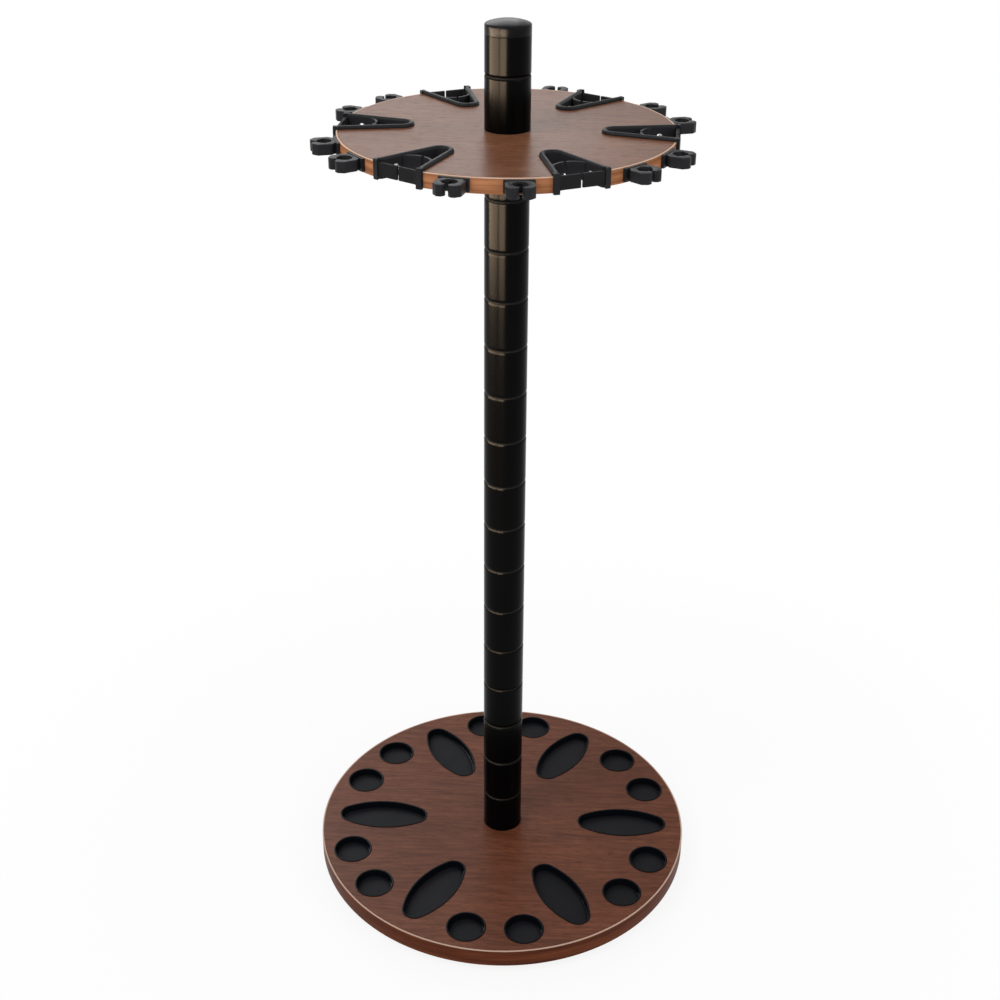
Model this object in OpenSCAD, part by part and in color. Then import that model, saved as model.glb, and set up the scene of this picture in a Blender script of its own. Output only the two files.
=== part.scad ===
// Round floor rack for fishing rods.
// Rods stand in shallow lined sockets in the base panel and lean in clips round the upper panel.
// Every third station takes two rods: a long tray below and a tapered dual clip above.
// Millimetres. The origin is on the floor on the axis of the post, +Z up, the viewer on the -Y side.

/* [Layout] */
// Radius of the circle on which the round sockets lie
rod_circle_r = 157; // [150:0.5:175]
// Stations round the rack, every third one dual
stations = 18; // [12:6:18]
// Turn of the upper panel against the base, as the clamped post leaves it
upper_turn = -4; // [-8:0.5:8]

/* [Base panel] */
// Board beyond the socket circle, out to the rim
base_margin = 27.15; // [24:0.05:40]
// Thickness of the base panel
base_t = 18; // [16.5:0.1:25]
// Thickness of the edge band on both panels
band_t = 1.5; // [1.2:0.1:2.4]
// Radius of the eased corner of the edge band
band_round = 1; // [0.4:0.1:1.1]

/* [Sockets] */
// Diameter over the rim of a socket cup
socket_d = 38; // [36:0.5:41]
// Free depth of a socket and of a tray, from the panel down to the mat
socket_depth = 6; // [5:0.25:7]
// Thickness of the mats
mat_t = 2; // [1:0.25:2.5]
// Wall of the cups and trays
liner_wall = 1; // [0.8:0.1:1.5]
// Width of the rim that lies on the panel
liner_rim = 0.8; // [0.5:0.1:1.5]
// Height of that rim above the panel
liner_rim_t = 0.6; // [0.4:0.1:1.2]
// Length of a two-rod tray
tray_len = 90; // [80:0.5:92]
// Width of a two-rod tray
tray_w = 41; // [36:0.5:44]
// Radius of the tray's ends
tray_end_r = 12.5; // [10:0.5:15]
// Tray centre inside the socket circle
tray_inset = 34.5; // [30:0.5:38]

/* [Post] */
// Outer diameter of the post
post_d = 38.1; // [32:0.1:45]
// Wall of the post tube
post_wall = 1.2; // [1:0.1:2]
// Distance between the rolled grooves
groove_pitch = 44.45; // [38:0.05:52]
// Groove pitches along the lower post
groove_bays = 16; // [10:1:20]
// Depth of a groove
groove_depth = 0.55; // [0.3:0.05:0.8]
// Width of a groove
groove_w = 2.4; // [1.6:0.1:4]
// Depth to which the lower post stands in the base panel
post_seat = 4.5; // [3:0.1:5.5]
// Length of the post above the upper panel
finial_len = 76.2; // [60:0.1:120]
// Height of the cap's rim
cap_rim_h = 8.5; // [6:0.1:14]
// Rise of the cap's dome
cap_dome_h = 3.5; // [2:0.1:8]

/* [Tie rod] */
// Diameter of the rod that clamps the post and panels
rod_d = 8; // [6:0.5:10]
// Thickness of the nut
nut_t = 6; // [4:0.25:6.5]
// Width of the nut across its corners
nut_d = 15; // [13:0.5:18]
// Diameter of the washer
washer_d = 22; // [20:0.5:26]
// Thickness of the washer
washer_t = 1.6; // [1:0.1:2]
// Length of the plugs in the ends of the lower post
plug_len = 22; // [15:1:35]
// Length of the threaded plug in the upper post
finial_plug_len = 25; // [18:1:40]

/* [Upper panel] */
// Upper panel rim inside the circle of the clip bores
clip_reach = 10.8; // [10.5:0.1:12]
// Clip bores inside the socket circle, so that the rods lean in
clip_inset = 6.5; // [4:0.5:9]
// Thickness of the upper panel
upper_t = 12.7; // [11.5:0.1:18]

/* [Single clips] */
// Bore of a single clip
clip_bore = 12; // [11:0.25:12.5]
// Depth of the groove in each side of the bore, where the ring bends when a rod is pushed in
clip_relief = 1.2; // [0.6:0.1:1.6]
// Width over the flats of the clip's eight-sided ring
clip_af = 22.4; // [21.5:0.1:24]
// Front of the jaws, from the middle of the bore
clip_front = 10.5; // [10:0.1:11]
// Height of the ring
clip_h = 9; // [7:0.25:10]
// Ring below the top of the panel
clip_drop = 1.3; // [0.8:0.1:2]
// Width of the neck between the ring and its plate
clip_neck = 16; // [14:0.25:18]
// Width of the slit between the jaws
clip_mouth = 2.6; // [2:0.1:3.4]
// Width of the V that leads a rod into the slit, at the front of the jaws
clip_flare = 7.2; // [6.4:0.1:8]
// Width of the mounting plate
plate_w = 24; // [22:0.5:28]
// Height of the mounting plate
plate_h = 10.6; // [10:0.1:10.9]
// Thickness of the mounting plate
plate_t = 2.6; // [2:0.1:3.2]
// Plate below the top of the panel
plate_drop = 0.8; // [0.4:0.1:1]

/* [Dual clips] */
// Depth of the clip from the rim to the outside of its round end
dual_depth = 62.7; // [58:0.5:68]
// Radius of the round end over the bead
dual_end_r = 11; // [10:0.25:12.5]
// Slope of each arm against the middle line
dual_slope = 13.2; // [12.6:0.2:14]
// Width of the bead on the panel
bead_w = 4.5; // [4:0.1:5.5]
// Height of the bead
bead_h = 3; // [2.6:0.1:4]
// Bead beyond the edge of the notch
bead_lap = 1.8; // [1.2:0.1:2]
// Skirt of the frame below the panel
frame_drop = 0.8; // [0.4:0.1:2]
// Width of an upright post of the frame
upright_w = 4.6; // [4.4:0.1:5.2]
// Post in front of the rim
upright_front = 2.6; // [2:0.1:3.5]
// Post behind the rim, along the notch
upright_back = 4; // [3:0.1:5]
// Radius of the curved fingers between the two rod pockets
finger_r = 18; // [17:0.25:19]
// Thickness of the fingers
finger_t = 2; // [1.5:0.1:2.4]
// Middle of the fingers' curve inside the rim
finger_inset = 12.7; // [11:0.1:14]
// Height of the fingers' tops over the panel
finger_rise = 1.4; // [0.4:0.1:2]
// Gap between the finger tips
finger_gap = 1.6; // [1:0.1:3]

/* [Gates] */
// Thickness of a gate leaf
gate_t = 2.6; // [2:0.1:3]
// Height of a gate leaf
gate_h = 11; // [9:0.25:11.5]
// Top of the gates above the panel
gate_rise = 0.3; // [0:0.1:1]
// Radius of the rounded root on which a leaf turns
gate_root_r = 1.8; // [1.7:0.05:2]
// Gap between the two leaves
gate_gap = 1; // [0.6:0.1:2]

/* [Screws] */
// Shank diameter of the screws
screw_d = 3.5; // [3:0.1:4]
// Diameter of a screw's head
screw_head_d = 6; // [5:0.1:6.5]
// Height of a screw's head
screw_head_h = 1.9; // [1.5:0.1:2.2]
// Length of a screw in the upper panel
screw_bite = 10; // [8:0.5:12]
// Length of a foot's screw in the base panel
foot_bite = 6.5; // [5:0.25:7]
// Inner screws of a dual clip, inside the rim
dual_screw_in = 36; // [34.5:0.5:38]
// Outer screws of a dual clip, inside the rim
dual_screw_out = 16; // [15:0.5:18]

/* [Feet] */
// Height of the rubber feet
foot_h = 8; // [7:0.5:15]
// Diameter of a foot at the floor
foot_d = 22; // [18:0.5:28]
// Feet under the base
foot_count = 6; // [4:1:8]
// Foot centre inside the rim of the base
foot_inset = 34; // [30:0.5:45]
// Rubber between a screw's head and the base
foot_web = 3; // [2:0.25:4]

/* [Hidden] */
// Gap all round between pieces that are let in or pushed in
fit = 0.15;
// Gap round a gate's root
turn_fit = 0.3;
// Gap between curved faces that rest on each other
rest_gap = 0.05;
// Gap between a thread and its nut
thread_gap = 0.05;
// Gap round a screw and its head in the clips and feet
screw_gap = 0.2;
// How far a cutting body runs past the face that it cuts
cut = 1;
// The round end of a frame is slimmer than its arms by this, and they lap over it
seam = 0.02;
seam_lap = 0.4;
$fn = 96;
// Flats along a quarter of an eased edge
edge_steps = 4;

dual_step = 3;
step_a = 360 / stations;
duals = stations / dual_step;
first_foot_a = 30;

base_r = rod_circle_r + base_margin;
clip_r = rod_circle_r - clip_inset;
upper_r = clip_r - clip_reach;

base_z = foot_h;
base_top = base_z + base_t;
post_z = base_top - post_seat;
post_len = groove_bays * groove_pitch;
upper_z = post_z + post_len;
upper_top = upper_z + upper_t;
cap_z = upper_top + finial_len;

post_r = post_d / 2;
tube_r = post_r - post_wall;
plug_r = tube_r - fit;

cup_r = socket_d / 2 - liner_rim;
liner_h = socket_depth + mat_t + liner_wall;
// The mats lie inside a ledge as wide as the wall, flush with its top
ledge_w = liner_wall;
tray_r = rod_circle_r - tray_inset;

nut_room = 1;
recess_r = washer_d / 2 + nut_room;
nut_clear = 0.4;
recess_h = nut_t + washer_t + nut_clear;
rod_chamfer = 0.8;
rod_short = 2;

cap_skirt_h = 14;
cap_skirt_wall = 1.6;
cap_top_t = 2;
cap_edge = 0.8;
cap_foot_edge = 0.3;
dome_steps = 10;

jaw_cut = 4;
jaw_a = 22.5;
mouth_depth = 2.4;
head_sink = 0.4;
clip_head_x = clip_r - clip_bore / 2 - screw_head_h - head_sink;

dual_c = upper_r - dual_depth + dual_end_r;
dual_inner_r = dual_end_r - bead_w;
notch_r = dual_end_r - bead_lap;
frame_r = notch_r - fit;
frame_z = upper_z - frame_drop;
frame_wall = frame_r - dual_inner_r;
front_r = upper_r + upright_front;
upright_drop = 0.2;
upright_top = upper_top + bead_h - upright_drop;
upright_in = half_width(dual_end_r, upper_r) - upright_w;
finger_x = upper_r - finger_inset;
finger_bond = 0.8;
finger_back = 6;

gate_z = upper_top + gate_rise - gate_h;
pivot_x = upper_r - gate_t / 2;
pivot_y = upright_in - gate_root_r / 2;
gate_swing = 60;
swing_room = 3.5;

screw_z = upper_z + upper_t / 2;
screw_tip = 2;
screw_tip_r = 0.3;
slot_r = 0.9;
head_rise = [0.4, 0.9];
head_draw = [0.7, 0.5];

foot_flare = 1;
foot_edge = 1;
foot_bore_r = screw_head_d / 2 + foot_edge + foot_flare;

wood = [0.40, 0.26, 0.19];
wood_edge = [0.66, 0.43, 0.28];
black = [0.08, 0.08, 0.085];
soft_black = [0.11, 0.11, 0.11];
mat_grey = [0.24, 0.24, 0.24];
steel = [0.72, 0.72, 0.74];
rubber = [0.06, 0.06, 0.06];

single_as = [for (i = [0:stations - 1]) if (i % dual_step != 0) i * step_a];
dual_as = [for (i = [0:duals - 1]) i * dual_step * step_a];
sides = ["left", "right"];

// Half width of the tapered outline with end radius r, at a distance x from the post's axis
function half_width(r, x) = r / cos(dual_slope) + (x - dual_c) * tan(dual_slope);

// Arc of points from angle a0 to a1 in n steps
function arc(cx, cy, r, a0, a1, n) =
    [for (i = [0:n]) let (a = a0 + (a1 - a0) * i / n) [cx + r * cos(a), cy + r * sin(a)]];

// One rolled groove at height z, as points up the outside of the tube
function groove(z) =
    [for (t = [0:30:180]) [post_r - groove_depth * sin(t), z - cos(t) * groove_w / 2]];

// Oval of half length a and half width b: two end arcs of radius e and two long side arcs
module oval(a, b, e) {
    s = ((a - e) * (a - e) + b * b - e * e) / (2 * (b - e));
    reach = s * (a - e) / (s - e);
    for (side = [-1, 1]) translate([side * (a - e), 0]) circle(e);
    intersection() {
        translate([0, b - s]) circle(s);
        translate([0, s - b]) circle(s);
        square([2 * reach, 2 * b], center = true);
    }
}

// Tray outline drawn in by d all round
module tray_outline(d) oval(tray_len / 2 - d, tray_w / 2 - d, tray_end_r - d);

// Tapered outline with its round end of radius r at dual_c, open towards the rim
module taper(r, x_end) {
    tx = dual_c - r * sin(dual_slope);
    ty = r * cos(dual_slope);
    translate([dual_c, 0]) circle(r);
    polygon([[tx, ty], [x_end, half_width(r, x_end)], [x_end, -half_width(r, x_end)], [tx, -ty]]);
}

module at_stations(angles, r) {
    for (a = angles) rotate([0, 0, a]) translate([r, 0, 0]) children();
}

// The middle line of station angle a of the upper panel, turned with that panel
module at_upper(angles) {
    for (a = angles) rotate([0, 0, upper_turn + a]) children();
}

module both_sides() {
    children();
    mirror([0, 1, 0]) children();
}

module edge_band(r, z, t) {
    c = band_round;
    translate([0, 0, z]) rotate_extrude() polygon(concat(
        [[r - band_t, 0]],
        arc(r - c, c, c, -90, 0, edge_steps),
        arc(r - c, t - c, c, 0, 90, edge_steps),
        [[r - band_t, t]]
    ));
}

module base_panel() color(wood) difference() {
    translate([0, 0, base_z]) cylinder(r = base_r - band_t - rest_gap, h = base_t);
    at_stations(single_as, rod_circle_r)
        translate([0, 0, base_top - liner_h]) cylinder(r = cup_r + fit, h = liner_h + cut);
    at_stations(dual_as, tray_r)
        translate([0, 0, base_top - liner_h]) linear_extrude(liner_h + cut) tray_outline(liner_rim - fit);
    translate([0, 0, post_z]) cylinder(r = post_r + fit, h = post_seat + cut);
    translate([0, 0, base_z]) cylinder(r = rod_d / 2 + fit, h = base_t);
    translate([0, 0, base_z - cut]) cylinder(r = recess_r, h = recess_h + cut);
}

module base_edge_band() color(wood) edge_band(base_r, base_z, base_t);

// Cup with a rim on the panel and a ledge at the level of the mat
module socket_cup() {
    bore = cup_r - liner_wall;
    floor_z = -socket_depth - mat_t;
    rotate_extrude() polygon([
        [0, -liner_h], [cup_r, -liner_h], [cup_r, 0], [cup_r + liner_rim, 0],
        [cup_r + liner_rim, liner_rim_t / 2], [cup_r + liner_rim / 2, liner_rim_t],
        [bore, liner_rim_t], [bore, -socket_depth],
        [bore - ledge_w, -socket_depth], [bore - ledge_w, floor_z], [0, floor_z]
    ]);
}

module socket_cups() color(black)
    at_stations(single_as, rod_circle_r) translate([0, 0, base_top]) socket_cup();

module socket_mats() color(mat_grey)
    at_stations(single_as, rod_circle_r) translate([0, 0, base_top - socket_depth - mat_t])
        cylinder(r = cup_r - liner_wall - ledge_w - fit, h = mat_t);

module slot_tray(a) color(black) at_stations([a], tray_r) translate([0, 0, base_top]) difference() {
    union() {
        translate([0, 0, -liner_h]) linear_extrude(liner_h) tray_outline(liner_rim);
        linear_extrude(liner_rim_t) tray_outline(0);
    }
    translate([0, 0, -socket_depth]) linear_extrude(liner_h) tray_outline(liner_rim + liner_wall);
    translate([0, 0, -socket_depth - mat_t]) linear_extrude(liner_h)
        tray_outline(liner_rim + liner_wall + ledge_w);
}

module slot_mats() color(mat_grey)
    at_stations(dual_as, tray_r) translate([0, 0, base_top - socket_depth - mat_t])
        linear_extrude(mat_t) tray_outline(liner_rim + liner_wall + ledge_w + fit);

// Tube from z with a groove at each of the heights listed, counted from its foot
module grooved_tube(z, len, heights) {
    translate([0, 0, z]) rotate_extrude() polygon(concat(
        [[tube_r, len], [tube_r, 0], [post_r, 0]],
        [for (h = heights, p = groove(h)) p],
        [[post_r, len]]
    ));
}

module lower_post() color(black)
    grooved_tube(post_z, post_len, [for (i = [1:groove_bays - 1]) i * groove_pitch]);

module upper_post() color(black) grooved_tube(upper_top, finial_len, [groove_pitch]);

module plug(z, len, bore_r) {
    translate([0, 0, z]) difference() {
        cylinder(r = plug_r, h = len);
        translate([0, 0, -cut]) cylinder(r = bore_r, h = len + 2 * cut);
    }
}

module foot_plug() color(soft_black) plug(post_z, plug_len, rod_d / 2 + fit);

module head_plug() color(soft_black) plug(upper_z - plug_len, plug_len, rod_d / 2 + fit);

module threaded_plug() color(soft_black) plug(upper_top, finial_plug_len, rod_d / 2 + thread_gap);

module tie_rod() color(steel) {
    z0 = base_z + nut_clear;
    z1 = upper_top + finial_plug_len - rod_short;
    tip_r = rod_d / 2 - rod_chamfer;
    translate([0, 0, z0]) cylinder(r1 = tip_r, r2 = rod_d / 2, h = rod_chamfer);
    translate([0, 0, z0 + rod_chamfer]) cylinder(d = rod_d, h = z1 - z0 - 2 * rod_chamfer);
    translate([0, 0, z1 - rod_chamfer]) cylinder(r1 = rod_d / 2, r2 = tip_r, h = rod_chamfer);
}

module tie_rod_nut() color(steel) translate([0, 0, base_z + nut_clear]) difference() {
    cylinder(d = nut_d, h = nut_t, $fn = 6);
    translate([0, 0, -cut]) cylinder(r = rod_d / 2 + thread_gap, h = nut_t + 2 * cut);
}

module tie_rod_washer() color(steel) translate([0, 0, base_z + nut_clear + nut_t]) difference() {
    cylinder(d = washer_d, h = washer_t);
    translate([0, 0, -cut]) cylinder(r = rod_d / 2 + screw_gap, h = washer_t + 2 * cut);
}

module post_cap() color(black) {
    dome_r = (post_r * post_r + cap_dome_h * cap_dome_h) / (2 * cap_dome_h);
    dome_a = asin((post_r - cap_edge) / dome_r);
    under_z = cap_rim_h - cap_top_t;
    translate([0, 0, cap_z]) rotate_extrude() polygon(concat(
        [[0, under_z], [plug_r - cap_skirt_wall, under_z], [plug_r - cap_skirt_wall, -cap_skirt_h],
         [plug_r, -cap_skirt_h], [plug_r, 0], [post_r - cap_foot_edge, 0],
         [post_r, cap_foot_edge], [post_r, cap_rim_h - cap_edge]],
        arc(0, cap_rim_h + cap_dome_h - dome_r, dome_r, 90 - dome_a, 90, dome_steps)
    ));
}

// The tapered notches of the panel, run past its faces and its rim
module notches() {
    at_upper(dual_as) translate([0, 0, upper_z - cut]) linear_extrude(upper_t + 2 * cut)
        taper(notch_r, upper_r + upright_front);
}

module upper_panel() color(wood) difference() {
    translate([0, 0, upper_z]) cylinder(r = upper_r - band_t - rest_gap, h = upper_t);
    notches();
    translate([0, 0, upper_z - cut]) cylinder(r = rod_d / 2 + fit, h = upper_t + 2 * cut);
}

module upper_edge_band() color(wood_edge) difference() {
    edge_band(upper_r, upper_z, upper_t);
    notches();
}

// Outline of the open ring: eight flats, a neck to the plate, grooves in the sides of the bore
// and a slit behind a V between the jaws
module clip_outline() {
    flat = clip_af / 2;
    neck = clip_neck / 2;
    slit = clip_mouth / 2;
    corner_x = flat * tan(jaw_a);
    half = [
        [clip_front, flat - jaw_cut], [clip_front - jaw_cut, flat], [-corner_x, flat],
        [neck - corner_x - flat, neck], [rest_gap - clip_reach, neck]
    ];
    difference() {
        polygon(concat(half, [for (i = [len(half) - 1:-1:0]) [half[i][0], -half[i][1]]]));
        circle(d = clip_bore);
        polygon([
            [cut - clip_bore / 2, 0], [0, -clip_bore / 2 - clip_relief],
            [clip_bore / 2 - cut, 0], [0, clip_bore / 2 + clip_relief]
        ]);
        polygon([
            [0, -slit], [clip_front - mouth_depth, -slit], [clip_front + mouth_depth, slit - clip_flare],
            [clip_front + mouth_depth, clip_flare - slit], [clip_front - mouth_depth, slit], [0, slit]
        ]);
    }
}

// Outline of the curved plate that lies on the rim
module plate_outline() difference() {
    intersection() {
        circle(upper_r + plate_t);
        translate([0, -plate_w / 2]) square([2 * upper_r, plate_w]);
    }
    circle(upper_r + rest_gap);
}

module rod_clip(a) color(black) at_upper([a]) difference() {
    union() {
        translate([0, 0, upper_top - clip_drop - clip_h]) linear_extrude(clip_h) difference() {
            translate([clip_r, 0]) clip_outline();
            circle(upper_r + rest_gap);
        }
        translate([0, 0, upper_top - plate_drop - plate_h]) linear_extrude(plate_h) plate_outline();
    }
    translate([upper_r, 0, screw_z]) rotate([0, 90, 0]) cylinder(r = screw_d / 2 + screw_gap, h = clip_reach);
    translate([clip_head_x, 0, screw_z]) rotate([0, 90, 0])
        cylinder(r = screw_head_d / 2 + screw_gap, h = clip_bore / 2);
}

// Pan head screw along X with the underside of its head at the origin and a slot in the head
module pan_screw(len) {
    r = screw_head_d / 2;
    rotate([0, -90, 0]) {
        cylinder(d = screw_d, h = len - screw_tip);
        translate([0, 0, len - screw_tip]) cylinder(r1 = screw_d / 2, r2 = screw_tip_r, h = screw_tip);
    }
    rotate([0, 90, 0]) rotate_extrude() polygon([
        [0, 0], [r, 0], [r, screw_head_h * head_rise[0]],
        [r * head_draw[0], screw_head_h * head_rise[1]], [r * head_draw[1], screw_head_h],
        [slot_r, screw_head_h], [slot_r, screw_head_h / 2], [0, screw_head_h / 2]
    ]);
}

module rod_clip_screws() color(steel)
    at_upper(single_as) translate([clip_head_x, 0, screw_z]) pan_screw(clip_head_x - upper_r + screw_bite);

// Section of the bead and the wall below it, drawn in by d on both sides.
// It lies at its distance from the middle of the round end.
module frame_section(d) {
    mid = dual_end_r - bead_w / 2;
    polygon(concat(
        [[dual_inner_r + d, frame_z], [frame_r - d, frame_z], [frame_r - d, upper_top],
         [dual_end_r - d, upper_top]],
        arc(mid, upper_top + bead_h - bead_w / 2, bead_w / 2 - d, 0, 180, 2 * edge_steps)
    ));
}

// The section run round the end and along both arms, as far as into the uprights
module frame_run() {
    arm_len = (upper_r - dual_c) / cos(dual_slope);
    translate([dual_c, 0, 0]) {
        rotate_extrude(angle = 180 - 2 * dual_slope, start = 90 + dual_slope) frame_section(seam);
        both_sides() rotate([0, 0, dual_slope]) translate([-seam_lap, 0, 0])
            rotate([90, 0, 90]) linear_extrude(arm_len + seam_lap) frame_section(0);
    }
}

// Upright at the rim: it fills the corner of the notch and laps over the edge band
module upright() difference() {
    translate([0, 0, frame_z]) linear_extrude(upright_top - frame_z) intersection() {
        circle(front_r);
        translate([upper_r - upright_back, upright_in]) square([front_r, upright_w]);
    }
    translate([0, 0, frame_z - cut]) linear_extrude(upper_top - frame_z + cut) difference() {
        circle(upper_r + rest_gap);
        taper(frame_r - fit, upper_r + upright_front);
    }
}

// The pair of curved spring fingers that parts the outer pocket from the inner one
module fingers() translate([0, 0, gate_z]) linear_extrude(upper_top + finger_rise - gate_z) difference() {
    intersection() {
        translate([finger_x, 0]) circle(finger_r + finger_t / 2);
        taper(dual_inner_r + finger_bond, finger_x - finger_back);
    }
    translate([finger_x, 0]) circle(finger_r - finger_t / 2);
    translate([0, -finger_gap / 2]) square([finger_x, finger_gap]);
}

// The four screws of a dual clip, seated on the inside of its arms
module dual_screw_places() {
    both_sides() for (d = [dual_screw_in, dual_screw_out])
        translate([upper_r - d, half_width(dual_inner_r, upper_r - d), screw_z])
            rotate([0, 0, dual_slope - 90]) children();
}

// Room for the root of a gate, and for the leaf where it swings in beside the arm
module gate_room() translate([pivot_x, pivot_y, frame_z - cut]) {
    h = bead_h + upper_top - frame_z + 2 * cut;
    cylinder(r = gate_root_r + turn_fit, h = h);
    rotate([0, 0, -gate_swing]) translate([-gate_t / 2 - turn_fit, -swing_room, 0])
        cube([gate_t / 2 + turn_fit, swing_room, h]);
}

module dual_clip(a) color(black) at_upper([a]) difference() {
    union() {
        frame_run();
        both_sides() upright();
        fingers();
    }
    both_sides() gate_room();
    dual_screw_places() rotate([0, -90, 0])
        translate([0, 0, -cut]) cylinder(r = screw_d / 2 + screw_gap, h = frame_wall + 2 * cut);
}

module dual_clip_screws() color(steel)
    at_upper(dual_as) dual_screw_places() pan_screw(frame_wall + screw_bite);

// Flat leaf with a rounded root at the origin and a rounded free edge
module gate_leaf() linear_extrude(gate_h) {
    len = pivot_y - gate_gap / 2 - gate_t / 2;
    circle(gate_root_r);
    translate([-gate_t / 2, -len]) square([gate_t, len]);
    translate([0, -len]) circle(gate_t / 2);
}

module gate(a, side) color(soft_black) at_upper([a]) mirror([0, side == "left" ? 1 : 0, 0])
    translate([pivot_x, pivot_y, gate_z]) gate_leaf();

module at_feet() {
    for (i = [0:foot_count - 1]) rotate([0, 0, first_foot_a + i * 360 / foot_count])
        translate([base_r - foot_inset, 0, 0]) children();
}

module rubber_feet() color(rubber) at_feet() rotate_extrude() polygon([
    [foot_bore_r, 0], [foot_d / 2 - foot_edge, 0], [foot_d / 2, foot_edge],
    [foot_d / 2 + foot_flare, foot_h], [screw_d / 2 + screw_gap, foot_h],
    [screw_d / 2 + screw_gap, foot_h - foot_web], [foot_bore_r, foot_h - foot_web]
]);

module foot_screws() color(steel)
    at_feet() translate([0, 0, foot_h - foot_web]) rotate([0, 90, 0]) pan_screw(foot_web + foot_bite);

base_panel();
base_edge_band();
socket_cups();
socket_mats();
for (i = [1:duals]) slot_tray(dual_as[i - 1]);
slot_mats();
lower_post();
foot_plug();
head_plug();
tie_rod();
tie_rod_nut();
tie_rod_washer();
upper_panel();
upper_edge_band();
upper_post();
threaded_plug();
post_cap();
for (i = [1:len(single_as)]) rod_clip(single_as[i - 1]);
rod_clip_screws();
for (i = [1:duals]) dual_clip(dual_as[i - 1]);
dual_clip_screws();
for (i = [1:duals], side = sides)
    gate(dual_as[i - 1], side);
rubber_feet();
foot_screws();
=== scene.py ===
"""Looks of a round floor rack.

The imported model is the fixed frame. Every shape is drawn in millimetres in that frame's axes, with the
floor at zero and the post on the Z axis, and becomes metres when its mesh is made.
"""

import sys

import logging
import math
from abc import ABC, abstractmethod
from dataclasses import dataclass, field
from enum import Enum
from typing import Any, Iterable, Optional, Sequence, Union

import bmesh
import bpy
from mathutils import Matrix, Vector

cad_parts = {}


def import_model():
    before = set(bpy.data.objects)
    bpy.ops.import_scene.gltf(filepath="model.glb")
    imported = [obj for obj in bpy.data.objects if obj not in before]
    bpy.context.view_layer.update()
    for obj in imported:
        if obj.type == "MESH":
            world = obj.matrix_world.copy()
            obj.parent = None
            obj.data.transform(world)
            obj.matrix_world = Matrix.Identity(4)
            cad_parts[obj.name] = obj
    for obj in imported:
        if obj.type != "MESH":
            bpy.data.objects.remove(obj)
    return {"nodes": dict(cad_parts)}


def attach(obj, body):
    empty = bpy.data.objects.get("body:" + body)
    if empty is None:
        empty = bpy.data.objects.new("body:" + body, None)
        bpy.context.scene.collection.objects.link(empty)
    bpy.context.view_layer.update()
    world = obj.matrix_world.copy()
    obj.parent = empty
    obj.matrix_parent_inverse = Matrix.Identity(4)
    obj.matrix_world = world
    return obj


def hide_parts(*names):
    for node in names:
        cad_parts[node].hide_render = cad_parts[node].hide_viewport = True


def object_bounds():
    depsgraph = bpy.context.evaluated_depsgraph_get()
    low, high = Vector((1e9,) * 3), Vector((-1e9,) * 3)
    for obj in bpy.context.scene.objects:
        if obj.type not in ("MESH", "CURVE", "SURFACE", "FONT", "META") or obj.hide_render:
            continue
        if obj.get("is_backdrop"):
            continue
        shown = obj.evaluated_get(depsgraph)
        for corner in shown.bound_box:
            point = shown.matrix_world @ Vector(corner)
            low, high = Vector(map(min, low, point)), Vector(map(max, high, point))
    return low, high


LOG = logging.getLogger("rod_rack")
RACK = "rack"
MM = 0.001
QUARTER = math.pi / 2
STATIONS = 18
DUAL_EVERY = 3
EASE_RINGS = 3
SMOOTH = 32.0
MERGED = 2e-7
SLIVER = 1e-7
POLE = 0.001
WHITE = (1.0, 1.0, 1.0)

Flat = tuple[float, float]
Span = tuple[float, float]
Colour = tuple[float, float, float]
Ring = Sequence[Sequence[float]]
Value = Union["Term", float, int]


# ---------------------------------------------------------------- node trees


class Term:
    """An output socket of a node, with operators that add Math nodes to its tree."""

    def __init__(self, graph: "Graph", socket: bpy.types.NodeSocket) -> None:
        """Wraps one output socket.

        Args:
            graph: the tree that the socket's node stands in.
            socket: the output that this term reads.
        """
        self.graph = graph
        self.socket = socket

    def __add__(self, other: Value) -> "Term":
        """Sum of two numbers."""
        return self.graph.maths("ADD", self, other)

    def __radd__(self, other: Value) -> "Term":
        """Sum with the number on the left."""
        return self.graph.maths("ADD", other, self)

    def __sub__(self, other: Value) -> "Term":
        """Difference of two numbers."""
        return self.graph.maths("SUBTRACT", self, other)

    def __rsub__(self, other: Value) -> "Term":
        """Difference with the number on the left."""
        return self.graph.maths("SUBTRACT", other, self)

    def __mul__(self, other: Value) -> "Term":
        """Product of two numbers."""
        return self.graph.maths("MULTIPLY", self, other)

    def __rmul__(self, other: Value) -> "Term":
        """Product with the number on the left."""
        return self.graph.maths("MULTIPLY", other, self)

    def __truediv__(self, other: Value) -> "Term":
        """Quotient of two numbers."""
        return self.graph.maths("DIVIDE", self, other)

    def __mod__(self, other: Value) -> "Term":
        """Rest of a division."""
        return self.graph.maths("MODULO", self, other)

    def __pow__(self, other: Value) -> "Term":
        """Power of a number."""
        return self.graph.maths("POWER", self, other)

    def __lt__(self, other: Value) -> "Term":
        """One where this is smaller, else zero."""
        return self.graph.maths("LESS_THAN", self, other)

    def __gt__(self, other: Value) -> "Term":
        """One where this is larger, else zero."""
        return self.graph.maths("GREATER_THAN", self, other)

    def __abs__(self) -> "Term":
        """Distance from zero."""
        return self.graph.maths("ABSOLUTE", self)

    def at_most(self, other: Value) -> "Term":
        """The smaller of two numbers."""
        return self.graph.maths("MINIMUM", self, other)

    def at_least(self, other: Value) -> "Term":
        """The larger of two numbers."""
        return self.graph.maths("MAXIMUM", self, other)

    def rounded(self) -> "Term":
        """The nearest whole number."""
        return self.graph.maths("ROUND", self)

    def ramp(self, low: float, high: float) -> "Term":
        """A soft step.

        Args:
            low: the value that gives 0.
            high: the value that gives 1.

        Returns:
            A number from 0 to 1 with eased ends.
        """
        return self.graph.add(
            "ShaderNodeMapRange",
            {"interpolation_type": "SMOOTHSTEP"},
            {"Value": self, "From Min": low, "From Max": high},
        )


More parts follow.
